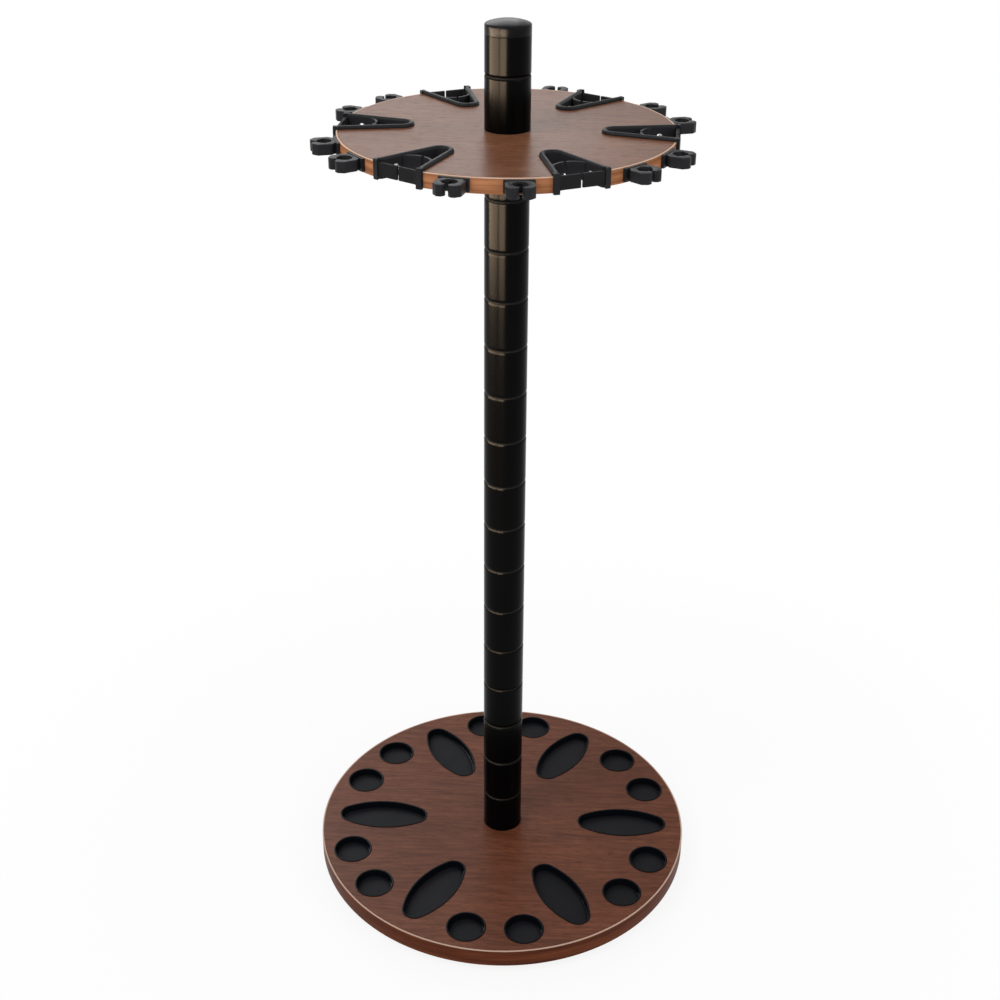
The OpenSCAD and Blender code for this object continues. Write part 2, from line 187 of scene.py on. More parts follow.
class Graph:
    """A node tree that is being wired."""

    def __init__(self, tree: bpy.types.NodeTree) -> None:
        """Starts on a tree.

        Args:
            tree: a shader or geometry node tree.
        """
        self.tree = tree

    @staticmethod
    def _pick(sockets: Any, key: Union[str, int]) -> bpy.types.NodeSocket:
        """The socket of that number, or the one in use among those of that name."""
        return sockets[key] if isinstance(key, int) else next(s for s in sockets if s.name == key and s.enabled)

    def node(self, kind: str, settings: dict[str, Any], sockets: dict[Any, Any]) -> bpy.types.Node:
        """Adds a node.

        Args:
            kind: the node's type.
            settings: its properties, set first; "stops" fills a colour ramp.
            sockets: numbers, colours or terms for its inputs, by name or number.

        Returns:
            The new node.
        """
        node = self.tree.nodes.new(kind)
        for key, value in settings.items():
            if key == "stops":
                while len(node.color_ramp.elements) < len(value):
                    node.color_ramp.elements.new(1.0)
                for element, (place, colour) in zip(node.color_ramp.elements, value):
                    element.position, element.color = place, (*colour, 1.0)
            else:
                setattr(node, key, value)
        for key, value in sockets.items():
            self.feed(self._pick(node.inputs, key), value)
        return node

    def add(self, kind: str, settings: dict[str, Any], sockets: dict[Any, Any], output: Union[str, int] = 0) -> Term:
        """Adds a node and gives one of its outputs.

        Args:
            kind: the node's type.
            settings: its properties.
            sockets: values or terms for its inputs.
            output: the output's name or number.

        Returns:
            That output as a term.
        """
        return Term(self, self._pick(self.node(kind, settings, sockets).outputs, output))

    def feed(self, socket: bpy.types.NodeSocket, value: Any) -> None:
        """Links a term to an input, or sets a constant on it.

        Args:
            socket: the input.
            value: a term, number, vector or colour.
        """
        if isinstance(value, Term):
            self.tree.links.new(value.socket, socket)
        elif socket.type == "RGBA" and len(value) == 3:
            socket.default_value = (*value, 1.0)
        else:
            socket.default_value = value

    def maths(self, operation: str, *values: Value) -> Term:
        """Adds one Math node.

        Args:
            operation: what it works out.
            values: its numbers or terms, in order.

        Returns:
            The result.
        """
        return self.add("ShaderNodeMath", {"operation": operation}, dict(enumerate(values)))

    def seen(self) -> Term:
        """Tells what is seen from what is only lit.

        Returns:
            One for what is seen straight, mirrored or through glass, else zero.
        """
        path = self.node("ShaderNodeLightPath", {}, {})
        camera, glossy, through = (
            Term(self, path.outputs[k]) for k in ("Is Camera Ray", "Is Glossy Ray", "Is Transmission Ray")
        )
        return camera.at_least(glossy).at_least(through)

    def vector(self, x: Value, y: Value, z: Value) -> Term:
        """Joins three numbers into a vector."""
        return self.add("ShaderNodeCombineXYZ", {}, {"X": x, "Y": y, "Z": z})

    def parts(self, vector: Term) -> tuple[Term, Term, Term]:
        """Splits a vector into its three numbers."""
        node = self.node("ShaderNodeSeparateXYZ", {}, {"Vector": vector})
        return tuple(Term(self, node.outputs[k]) for k in ("X", "Y", "Z"))


@dataclass(frozen=True)
class Grain:
    """Stretched noise: how fine it is along and across, where it is read, and its finer layers."""

    along: float
    across: float
    start: float = 0.0
    detail: float = 3.0
    rough: float = 0.5


class Surface(Graph):
    """The node tree of a material, with the patterns that the finishes use."""

    def position(self) -> Term:
        """The place on the piece, in metres in the frame's axes."""
        return self.add("ShaderNodeTexCoord", {}, {}, "Object")

    def noise(self, where: Term, scale: float = 1.0, detail: float = 3.0, rough: float = 0.5) -> Term:
        """Soft noise.

        Args:
            where: the place to read.
            scale: how fine it is, per metre.
            detail: how many finer layers it has.
            rough: how strong those layers are.

        Returns:
            A number about 0.5.
        """
        sockets = {"Vector": where, "Scale": scale, "Detail": detail, "Roughness": rough}
        return self.add("ShaderNodeTexNoise", {}, sockets, 0)

    def grain(self, kind: Grain, along: Term, across: Term) -> Term:
        """Stretched noise at a place, given by its two measures on the surface."""
        where = self.vector(along * kind.along, across * kind.across, kind.start)
        return self.noise(where, detail=kind.detail, rough=kind.rough)

    def blend(self, share: Value, first: Any, second: Any) -> Term:
        """Mixes two colours.

        Args:
            share: 0 for the first and 1 for the second.
            first: a colour or term.
            second: a colour or term.

        Returns:
            The mixed colour.
        """
        return self.add("ShaderNodeMix", {"data_type": "RGBA"}, {"Factor": share, "A": first, "B": second}, "Result")

    def relief(self, height: Term, depth: float, strength: float = 1.0) -> Term:
        """A normal from a height.

        Args:
            height: the height pattern, 0 to 1.
            depth: what 1 stands for, in metres.
            strength: the share of it that shows.

        Returns:
            The bent normal.
        """
        sockets = {"Height": height, "Distance": depth, "Strength": strength}
        return self.add("ShaderNodeBump", {}, sockets)

    def around(self) -> tuple[Term, Term, Term]:
        """The place about the post, in metres.

        Returns:
            The way round at the place's own radius, the distance from the axis, and the height.
        """
        x, y, z = self.parts(self.position())
        distance = self.maths("SQRT", x * x + y * y)
        return self.maths("ARCTAN2", y, x) * distance, distance, z


# ---------------------------------------------------------------- finishes


@dataclass(frozen=True)
class Finish(ABC):
    """A finish, made into a material the first time that a piece asks for it."""

    name: str

    def material(self) -> bpy.types.Material:
        """The finish's material, made once.

        Returns:
            The material.
        """
        found = bpy.data.materials.get(self.name)
        if found:
            return found
        made = bpy.data.materials.new(self.name)
        made.use_nodes = True
        shader = made.node_tree.nodes["Principled BSDF"]
        self.paint(Surface(made.node_tree), shader.inputs)
        return made

    @abstractmethod
    def paint(self, s: Surface, shader: Any) -> None:
        """Wires the finish.

        Args:
            s: the material's tree.
            shader: the inputs of its shader.
        """


@dataclass(frozen=True)
class Laminate(Finish):
    """Satin laminate with a walnut figure that runs along X."""

    dark: Colour = (0.062, 0.018, 0.008)
    middle: Colour = (0.128, 0.038, 0.017)
    light: Colour = (0.206, 0.071, 0.037)
    roughness: float = 0.38
    specular: float = 0.08
    turn: float = 0.0
    clouds: Grain = Grain(9.0, 16.0, 7.7, 3.0, 0.55)
    bands: Grain = Grain(4.5, 34.0, 0.3, 4.0, 0.60)
    streaks: Grain = Grain(24.0, 300.0, 1.7, 5.0, 0.72)
    pores: Grain = Grain(95.0, 900.0, 4.1, 2.0, 0.55)
    waver: float = 0.022
    cloud_span: Span = (0.34, 0.70)
    band_span: Span = (0.14, 0.88)
    streak_span: Span = (0.32, 0.76)
    pore_span: Span = (0.54, 0.67)
    worn_span: Span = (0.55, 0.85)
    cloud_share: float = 0.34
    streak_share: float = 0.80
    pore_share: float = 0.70
    depth: float = 0.00006

    def paint(self, s: Surface, shader: Any) -> None:
        """Wires cloudy patches, slow bands, fine grain and short dark pores.

        Args:
            s: the material's tree.
            shader: the inputs of its shader.
        """
        about_z = {"rotation_type": "Z_AXIS"}
        turned = s.add("ShaderNodeVectorRotate", about_z, {"Vector": s.position(), "Angle": self.turn})
        x, y, z = s.parts(turned)
        drift = s.noise(s.vector(x * 5.0, y * 13.0, z * 13.0), detail=2.0)
        across = y + z + (drift - 0.5) * self.waver
        clouds = s.grain(self.clouds, x, y).ramp(*self.cloud_span)
        bands = s.grain(self.bands, x, across)
        streaks = s.grain(self.streaks, x, across)
        pores = s.grain(self.pores, x, across).ramp(*self.pore_span)
        figure = s.blend(bands.ramp(*self.band_span), self.dark, self.middle)
        figure = s.blend(streaks.ramp(*self.streak_span) * self.streak_share, figure, self.light)
        figure = s.blend(clouds * self.cloud_share, figure, self.dark)
        worn = s.noise(turned, 26.0, 5.0, 0.6).ramp(*self.worn_span)
        s.feed(shader["Base Color"], s.blend(pores * self.pore_share, figure, self.dark))
        s.feed(shader["Roughness"], streaks * 0.10 + worn * 0.08 + pores * 0.12 + (self.roughness - 0.06))
        shader["Specular IOR Level"].default_value = self.specular
        s.feed(shader["Normal"], s.relief(1.0 - pores * 0.8 + streaks * 0.25, self.depth, 0.55))


@dataclass(frozen=True)
class EdgeBanding(Finish):
    """Edge banding with its grain round the rim and a painted highlight along its eased top corner."""

    dark: Colour
    light: Colour
    # corner: the colour of the painted highlight along the eased top corner
    corner: Colour
    top: float
    highlight_height: float = 0.0011
    specular: float = 0.045
    bands: Grain = Grain(7.0, 210.0, 0.0, 4.0, 0.62)
    pores: Grain = Grain(60.0, 1400.0, 2.0, 2.0)
    highlight_wobble: Grain = Grain(55.0, 55.0, 5.0, 5.0, 0.7)
    highlight_wobble_depth: float = 0.0007
    band_span: Span = (0.30, 0.70)
    pore_span: Span = (0.57, 0.68)
    pore_share: float = 0.5
    highlight_share: float = 0.85
    roughness: float = 0.36
    depth: float = 0.00007

    def paint(self, s: Surface, shader: Any) -> None:
        """Wires grain round the rim and a painted highlight along the top corner, its lower edge wavering.

        Args:
            s: the material's tree.
            shader: the inputs of its shader.
        """
        around, _, z = s.around()
        bands = s.grain(self.bands, around, z)
        pores = s.grain(self.pores, around, z).ramp(*self.pore_span)
        colour = s.blend(bands.ramp(*self.band_span), self.dark, self.light)
        colour = s.blend(pores * self.pore_share, colour, self.dark)
        # Painted highlight: the top corner is mixed towards a pale colour, its lower edge made to waver by noise; edge
        # is its mask.
        highlight_wobble = s.grain(self.highlight_wobble, around, z)
        height = z + (highlight_wobble - 0.5) * self.highlight_wobble_depth
        edge = height.ramp(self.top - self.highlight_height, self.top - 0.35 * self.highlight_height)
        s.feed(shader["Base Color"], s.blend(edge * self.highlight_share, colour, self.corner))
        s.feed(shader["Roughness"], bands * 0.14 + edge * 0.10 + self.roughness)
        shader["Specular IOR Level"].default_value = self.specular
        s.feed(shader["Normal"], s.relief(bands - pores * 0.6, self.depth, 0.5))


@dataclass(frozen=True)
class Moulding(Finish):
    """Moulded plastic or rubber: its colour, sheen, skin texture and the dust and rubs of use."""

    colour: Colour
    rubbed: Colour
    roughness: float
    specular: float = 0.30
    skin: float = 2600.0
    skin_depth: float = 0.00003
    patch: float = 48.0
    rub: float = 0.35
    rub_across: float = 260.0
    rub_along: float = 36.0
    rub_span: Span = (0.60, 0.78)
    patch_span: Span = (0.45, 0.75)
    skin_span: Span = (0.35, 0.9)

    def paint(self, s: Surface, shader: Any) -> None:
        """Wires the skin, soft patches and fine rubs.

        Args:
            s: the material's tree.
            shader: the inputs of its shader.
        """
        place = s.position()
        x, y, z = s.parts(place)
        patches = s.noise(place, self.patch, 4.0, 0.55)
        skin = s.noise(place, self.skin, 2.0, 0.6)
        drawn = s.vector(x * self.rub_across, y * self.rub_across, z * self.rub_along)
        lines = s.noise(drawn, detail=4.0, rough=0.7).ramp(*self.rub_span)
        rubs = lines * patches.ramp(*self.patch_span) * self.rub
        s.feed(shader["Base Color"], s.blend(rubs + skin.ramp(*self.skin_span) * 0.10, self.colour, self.rubbed))
        s.feed(shader["Roughness"], patches * 0.14 + rubs * 0.18 + (self.roughness - 0.07))
        shader["Specular IOR Level"].default_value = self.specular
        s.feed(shader["Normal"], s.relief(skin, self.skin_depth, 0.6))


@dataclass(frozen=True)
class Enamel(Finish):
    """Gloss black enamel on tube, with a painted highlight along each rolled groove."""

    low: float
    high: float
    pitch: float
    colour: Colour = (0.0015, 0.0014, 0.0014)
    # groove: the colour of the painted highlight along the grooves
    groove: Colour = (0.040, 0.039, 0.038)
    roughness: float = 0.20
    specular: float = 0.038
    drawn: Grain = Grain(1500.0, 9.0, 0.0, 3.0, 0.6)
    plain_end: float = 0.01
    groove_highlight_span: Span = (0.0003, 0.0012)
    dust_span: Span = (0.62, 0.85)
    groove_highlight_share: float = 0.3
    dust_share: float = 0.08
    depth: float = 0.00005

    def paint(self, s: Surface, shader: Any) -> None:
        """Wires a faint orange peel, drawing lines, dust and a painted highlight along the grooves.

        Args:
            s: the material's tree.
            shader: the inputs of its shader.
        """
        around, _, z = s.around()
        peel = s.noise(s.position(), 420.0, 2.0, 0.4)
        drawn = s.grain(self.drawn, around, z)
        # Painted highlight: a paler line at each rolled groove, away from the tube's ends; line is its mask.
        bay = (z - self.low) / self.pitch
        off = abs(bay - bay.rounded()) * self.pitch
        inside = (z > self.low + self.plain_end) * (z < self.high - self.plain_end)
        line = (1.0 - off.ramp(*self.groove_highlight_span)) * inside
        dust = s.noise(s.position(), 900.0, 4.0, 0.75).ramp(*self.dust_span)
        s.feed(shader["Base Color"], s.blend(line * self.groove_highlight_share + dust * self.dust_share, self.colour, self.groove))
        s.feed(shader["Roughness"], drawn * 0.10 + dust * 0.20 + line * 0.40 + (self.roughness - 0.05))
        shader["Specular IOR Level"].default_value = self.specular
        s.feed(shader["Normal"], s.relief(peel + drawn * 0.15, self.depth, 0.25))


@dataclass(frozen=True)
class ZincPlate(Finish):
    """Bright zinc plating on small steel parts."""

    colour: Colour = (0.58, 0.58, 0.57)
    dull: Colour = (0.36, 0.35, 0.32)
    roughness: float = 0.30
    mottle: float = 320.0
    mottle_span: Span = (0.35, 0.75)
    turning: float = 5200.0
    depth: float = 0.00003

    def paint(self, s: Surface, shader: Any) -> None:
        """Wires a mottled plating with fine turning lines.

        Args:
            s: the material's tree.
            shader: the inputs of its shader.
        """
        place = s.position()
        mottle = s.noise(place, self.mottle, 5.0, 0.65)
        _, _, z = s.parts(place)
        turning = s.noise(s.vector(z * self.turning, 0.0, 0.0), detail=1.0)
        s.feed(shader["Base Color"], s.blend(mottle.ramp(*self.mottle_span), self.colour, self.dull))
        s.feed(shader["Roughness"], mottle * 0.22 + (self.roughness - 0.08))
        shader["Metallic"].default_value = 1.0
        s.feed(shader["Normal"], s.relief(turning + mottle, self.depth, 0.4))


@dataclass(frozen=True)
class StudioFloor(Finish):
    """The plain white floor under the rack, which keeps the rack's shadow and turns pure white away from it."""

    colour: Colour = (0.90, 0.90, 0.90)
    cloud: Colour = (0.891, 0.891, 0.891)
    glow: float = 0.88
    pure_from: float = 0.20
    pure_at: float = 0.75

    def paint(self, s: Surface, shader: Any) -> None:
        """Wires an even matt white that is brighter where it is seen or mirrored.

        Args:
            s: the material's tree.
            shader: the inputs of its shader.
        """
        cloud = s.noise(s.position(), 1.5, 2.0)
        s.feed(shader["Base Color"], s.blend(cloud, self.colour, self.cloud))
        shader["Roughness"].default_value = 0.9
        shader["Specular IOR Level"].default_value = 0.1
        white = s.add("ShaderNodeEmission", {}, {"Color": WHITE, "Strength": 1.0})
        plain = Term(s, s.tree.nodes["Principled BSDF"].outputs[0])
        glow = s.around()[1].ramp(self.pure_from, self.pure_at) * (1.0 - self.glow) + self.glow
        mixed = s.add("ShaderNodeMixShader", {}, {0: s.seen() * glow, 1: plain, 2: white})
        s.feed(s.tree.nodes["Material Output"].inputs["Surface"], mixed)


BASE_TOP = 26.0
UPPER_TOP = 745.4

WALNUT = Laminate("walnut laminate")
# A lighter, yellower copy of the walnut laminate for the upper panel: painted sheen, as both panels share one walnut.
WALNUT_PAINTED_SHEEN = Laminate(
    "walnut laminate of the upper panel",
    dark=(0.104, 0.038, 0.019), middle=(0.182, 0.072, 0.036), light=(0.270, 0.126, 0.066),
    roughness=0.30, specular=0.075, turn=0.07,
)
# A darker copy of the edge banding for the base: painted shade on its low rim; its corner colour is a painted
# highlight.
BASE_EDGING_PAINTED_SHADE = EdgeBanding(
    "edge banding of the base",
    dark=(0.056, 0.013, 0.005), light=(0.165, 0.045, 0.018), corner=(0.600, 0.420, 0.330), top=BASE_TOP * MM,
)
# A lighter copy of the edge banding for the upper panel: painted light on its rim; its corner colour is a painted
# highlight.
UPPER_EDGING_PAINTED_LIGHT = EdgeBanding(
    "edge banding of the upper panel",
    dark=(0.262, 0.094, 0.040), light=(0.560, 0.240, 0.112), corner=(0.740, 0.530, 0.400), top=UPPER_TOP * MM,
)
CUP_BLACK = Moulding(
    "gloss black liner", (0.0034, 0.0040, 0.0056), (0.014, 0.016, 0.021),
    roughness=0.24, specular=0.035, skin=900.0, skin_depth=0.00001, rub=0.25,
)
MAT_GREY = Moulding(
    "dark grey rubber mat", (0.0082, 0.0084, 0.0100), (0.024, 0.025, 0.028),
    roughness=0.62, specular=0.06, skin=1500.0, skin_depth=0.00010, rub=0.9,
)
CLIP_BLACK = Moulding(
    "satin black clip moulding", (0.0170, 0.0170, 0.0190), (0.045, 0.046, 0.050), roughness=0.42, specular=0.10
)
GATE_BLACK = Moulding(
    "matt black gate moulding", (0.0150, 0.0150, 0.0160), (0.030, 0.030, 0.031),
    roughness=0.55, specular=0.06, skin=1900.0,
)
CAP_BLACK = Moulding(
    "satin black cap", (0.0060, 0.0062, 0.0072), (0.030, 0.032, 0.036),
    roughness=0.24, specular=0.06, skin=3000.0, skin_depth=0.00002, rub=0.4,
)
PLUG_BLACK = Moulding("black plug moulding", (0.020, 0.020, 0.020), (0.050, 0.050, 0.050), roughness=0.55)
RUBBER = Moulding(
    "black rubber foot", (0.016, 0.016, 0.016), (0.070, 0.068, 0.064),
    roughness=0.80, specular=0.20, skin=1400.0, skin_depth=0.00008, rub=0.8,
)
ZINC = ZincPlate("bright zinc plating")
# A darker copy of the zinc plating for the single clips' screws: painted shade, so the screws seen in the clips' slits
# stay dark.
ZINC_WITH_PAINTED_SHADE = ZincPlate(
    "blackened steel of the single clips' screws",
    colour=(0.030, 0.030, 0.031), dull=(0.016, 0.016, 0.016), roughness=0.45,
)


# ---------------------------------------------------------------- shapes


def eased(corners: Sequence[Flat], radius: float, steps: int = 3) -> list[Flat]:
    """Rounds every corner of a closed outline.

    Args:
        corners: the outline's corners in order.
        radius: how far from a corner its rounding starts, at most.
        steps: how many edges each rounding has.

    Returns:
        The rounded outline.
    """
    found: list[Flat] = []
    count = len(corners)
    for i, corner in enumerate(corners):
        here = Vector(corner)
        before, after = Vector(corners[i - 1]) - here, Vector(corners[(i + 1) % count]) - here
        reach = min(radius, 0.45 * before.length, 0.45 * after.length)
        start, end = here + before.normalized() * reach, here + after.normalized() * reach
        for k in range(steps + 1):
            t = k / steps
            found.append(tuple((1 - t) ** 2 * start + 2 * t * (1 - t) * here + t * t * end))
    return found


def drawn_in(outline: Sequence[Flat], distance: float) -> list[Flat]:
    """Moves an anticlockwise outline inwards.

    Args:
        outline: the points in order.
        distance: how far each side moves.

    Returns:
        The smaller outline, point for point.
    """
    found: list[Flat] = []
    count = len(outline)
    for i, point in enumerate(outline):
        here = Vector(point)
        first, second = here - Vector(outline[i - 1]), Vector(outline[(i + 1) % count]) - here
        one = Vector((-first.y, first.x)).normalized()
        two = Vector((-second.y, second.x)).normalized()
        both = one + two
        found.append(tuple(here + both * (distance / max(0.35, 1 + one.dot(two)))))
    return found


def arc(centre: Flat, radius: float, start: float, end: float, steps: int) -> list[Flat]:
    """Points on a circle.

    Args:
        centre: its middle.
        radius: its radius.
        start: the first angle in degrees.
        end: the last angle in degrees.
        steps: how many edges the arc has.

    Returns:
        The points, both ends with them.
    """
    angles = (math.radians(start + (end - start) * i / steps) for i in range(steps + 1))
    return [(centre[0] + radius * math.cos(a), centre[1] + radius * math.sin(a)) for a in angles]


class Shell:
    """Points and faces in millimetres that become one mesh."""

    def __init__(self) -> None:
        """Starts with nothing."""
        self.points: list[Vector] = []
        self.faces: list[tuple[int, ...]] = []

    def skin(self, rings: Sequence[Ring], loop: bool = False, place: Optional[Matrix] = None) -> "Shell":
        """Stretches a skin over closed rings of equally many points.

        Args:
            rings: the rings in order.
            loop: whether the last ring joins the first; else both ends are closed with a face.
            place: where the finished skin goes.

        Returns:
            This shell.
        """
        start, count = len(self.points), len(rings[0])
        move = place or Matrix()
        self.points += [move @ Vector(p) for ring in rings for p in ring]
        last = len(rings) if loop else len(rings) - 1
        for i in range(last):
            here, there = start + i * count, start + (i + 1) % len(rings) * count
            for k in range(count):
                n = (k + 1) % count
                self.faces.append((here + k, here + n, there + n, there + k))
        if not loop:
            end = start + (len(rings) - 1) * count
            self.faces.append(tuple(range(start, start + count)))
            self.faces.append(tuple(reversed(range(end, end + count))))
        return self

    def turned(self, profile: Sequence[Flat], steps: int = 96, start: float = 0.0, sweep: float = 360.0) -> "Shell":
        """Turns a closed profile of radius and height round the post's axis.

        Args:
            profile: points of radius and height.
            steps: how many sections the turn has.
            start: the first angle in degrees.
            sweep: how far it turns, in degrees.

        Returns:
            This shell.
        """
        full = sweep >= 360.0
        rings = []
        for i in range(steps if full else steps + 1):
            a = math.radians(start + sweep * i / steps)
            rings.append([(r * math.cos(a), r * math.sin(a), z) for r, z in profile])
        return self.skin(rings, full)

    def prism(
        self,
        outline: Sequence[Flat],
        low: float,
        high: float,
        ease_low: float = 0.0,
        ease_high: float = 0.0,
        place: Optional[Matrix] = None,
    ) -> "Shell":
        """Raises an anticlockwise outline into a slab with rounded rims.

        Args:
            outline: the slab's plan.
            low: its underside.
            high: its top.
            ease_low: how far the lower rim is rounded.
            ease_high: how far the upper rim is rounded.
            place: where the slab goes.

        Returns:
            This shell.
        """
        levels: list[Flat] = []
        for k in range(EASE_RINGS if ease_low else 1):
            a = QUARTER * k / (EASE_RINGS - 1)
            levels.append((ease_low * (1 - math.sin(a)), low + ease_low * (1 - math.cos(a))))
        for k in reversed(range(EASE_RINGS if ease_high else 1)):
            a = QUARTER * k / (EASE_RINGS - 1)
            levels.append((ease_high * (1 - math.sin(a)), high - ease_high * (1 - math.cos(a))))
        rings = [[(*p, z) for p in (drawn_in(outline, d) if d else outline)] for d, z in levels]
        return self.skin(rings, False, place)

    def join(self, other: "Shell", place: Optional[Matrix] = None) -> "Shell":
        """Adds another shell's points and faces.

        Args:
            other: what to add.
            place: where it goes.

        Returns:
            This shell.
        """
        start, move = len(self.points), place or Matrix()
        self.points += [move @ p for p in other.points]
        self.faces += [tuple(start + i for i in f) for f in other.faces]
        return self

    def mesh(self, name: str, smooth: float = SMOOTH) -> bpy.types.Mesh:
        """Makes the mesh in metres, closed, with its faces outwards.

        Args:
            name: the mesh's name.
            smooth: the angle in degrees from which an edge stays sharp.

        Returns:
            The mesh.
        """
        made = bpy.data.meshes.new(name)
        made.from_pydata([p * MM for p in self.points], [], self.faces)
        return tidied(made, smooth)


def smoothed(mesh: bpy.types.Mesh, smooth: float) -> bpy.types.Mesh:
    """Shades a mesh smooth, but for its edges from an angle upwards.

    Args:
        mesh: the mesh to change.
        smooth: that angle in degrees.

    Returns:
        The same mesh.
    """
    mesh.polygons.foreach_set("use_smooth", [True] * len(mesh.polygons))
    mesh.set_sharp_from_angle(angle=math.radians(smooth))
    return mesh


def tidied(mesh: bpy.types.Mesh, smooth: float = SMOOTH) -> bpy.types.Mesh:
    """Merges doubles, turns the faces outwards and smooths a mesh.

    Args:
        mesh: the mesh to change.
        smooth: the angle in degrees from which an edge stays sharp.

    Returns:
        The same mesh.
    """
    work = bmesh.new()
    work.from_mesh(mesh)
    bmesh.ops.remove_doubles(work, verts=work.verts, dist=MERGED)
    bmesh.ops.dissolve_degenerate(work, edges=work.edges, dist=SLIVER)
    bmesh.ops.recalc_face_normals(work, faces=work.faces)
    work.to_mesh(mesh)
    work.free()
    return smoothed(mesh, smooth)


def stood(name: str, data: Any) -> bpy.types.Object:
    """Stands a new object in the scene, at the origin.

    Args:
        name: the object's name.
        data: its mesh, lamp or camera.

    Returns:
        The object.
    """
    made = bpy.data.objects.new(name, data)
    bpy.context.scene.collection.objects.link(made)
    return made


def worked_out(holder: bpy.types.Object) -> bpy.types.Mesh:
    """Turns an object with modifiers into a plain mesh, and clears the modifiers away.

    Args:
        holder: the object.

    Returns:
        What its modifiers make.
    """
    bpy.context.view_layer.update()
    made = bpy.data.meshes.new_from_object(holder.evaluated_get(bpy.context.evaluated_depsgraph_get()))
    holder.modifiers.clear()
    bpy.data.objects.remove(holder)
    return made


# ---------------------------------------------------------------- geometry node recipes


class Recipe(ABC):
    """A geometry node tree with named inputs, run once on a mesh."""

    title = "recipe"

    def __init__(self) -> None:
        """Builds the tree."""
        self.tree = bpy.data.node_groups.new(self.title, "GeometryNodeTree")
        self.graph = Graph(self.tree)
        self.tree.interface.new_socket("Geometry", in_out="INPUT", socket_type="NodeSocketGeometry")
        self.tree.interface.new_socket("Geometry", in_out="OUTPUT", socket_type="NodeSocketGeometry")
        for name, kind in {**self.inputs(), "Finish": "Material"}.items():
            self.tree.interface.new_socket(name, in_out="INPUT", socket_type=f"NodeSocket{kind}")
        self.source = self.tree.nodes.new("NodeGroupInput")
        whole = self.graph.add("GeometryNodeRealizeInstances", {}, {"Geometry": self.wire()})
        done = self.graph.add("GeometryNodeSetMaterial", {}, {"Geometry": whole, "Material": self.given("Finish")})
        self.graph.feed(self.tree.nodes.new("NodeGroupOutput").inputs[0], done)

    @abstractmethod
    def inputs(self) -> dict[str, str]:
        """The tree's named inputs and their kinds."""

    @abstractmethod
    def wire(self) -> Term:
        """Wires the tree and gives the geometry that it makes."""

    def given(self, name: str) -> Term:
        """One of the tree's inputs."""
        return Term(self.graph, self.source.outputs[name])

    def run(
        self, mesh: bpy.types.Mesh, finish: Finish, values: dict[str, Any], smooth: float = SMOOTH
    ) -> bpy.types.Mesh:
        """Runs the tree on a mesh.

        Args:
            mesh: what the tree starts from.
            finish: what its result is dressed in.
            values: a value for each named input.
            smooth: the angle in degrees from which an edge stays sharp.

        Returns:
            The result as a plain mesh.
        """
        holder = stood(self.title, mesh)
        modifier = holder.modifiers.new(self.title, "NODES")
        modifier.node_group = self.tree
        given = {**values, "Finish": finish.material()}
        for item in self.tree.interface.items_tree:
            if item.in_out == "INPUT" and item.name in given:
                modifier[item.identifier] = given[item.name]
        return tidied(worked_out(holder), smooth)


class RoundTheRack(Recipe):
    """Copies one piece to the stations of the rack."""

    title = "copies round the rack"

    def inputs(self) -> dict[str, str]:
        """Names the tree's inputs.

        Returns:
            Stations, their first angle, the piece's place and turn, and its own random spin.
        """
        return {
            "Stations": "Int", "Leave out every": "Int", "First angle": "Float", "Place": "Vector",
            "Turn": "Vector", "Spin": "Float", "Seed": "Int",
        }

    def wire(self) -> Term:
        """Sets a point for each station and puts a copy on it.

        Returns:
            The copies, as instances.
        """
        g = self.graph
        index = g.add("GeometryNodeInputIndex", {}, {})
        angle = index * math.tau / self.given("Stations") + self.given("First angle")
        every = self.given("Leave out every")
        kept = (index % every).at_least(every < 0.5) > 0.5
        turn_z = {"rotation_type": "Z_AXIS"}
        place = g.add("ShaderNodeVectorRotate", turn_z, {"Vector": self.given("Place"), "Angle": angle})
        points = g.add("GeometryNodePoints", {}, {"Count": self.given("Stations"), "Position": place})
        bounds = {"Min": -1.0, "Max": 1.0, "Seed": self.given("Seed")}
        chance = g.add("FunctionNodeRandomValue", {"data_type": "FLOAT"}, bounds, "Value")
        spun = g.add("FunctionNodeEulerToRotation", {}, {"Euler": g.vector(0.0, 0.0, chance * self.given("Spin"))})
        turned = g.add("FunctionNodeEulerToRotation", {}, {"Euler": self.given("Turn")})
        station = g.add("FunctionNodeEulerToRotation", {}, {"Euler": g.vector(0.0, 0.0, angle)})
        whole = {"rotation_space": "GLOBAL"}
        facing = g.add("FunctionNodeRotateRotation", whole, {"Rotation": spun, "Rotate By": turned})
        facing = g.add("FunctionNodeRotateRotation", whole, {"Rotation": facing, "Rotate By": station})
        sockets = {"Points": points, "Selection": kept, "Instance": self.given("Geometry"), "Rotation": facing}
        return g.add("GeometryNodeInstanceOnPoints", {}, sockets)


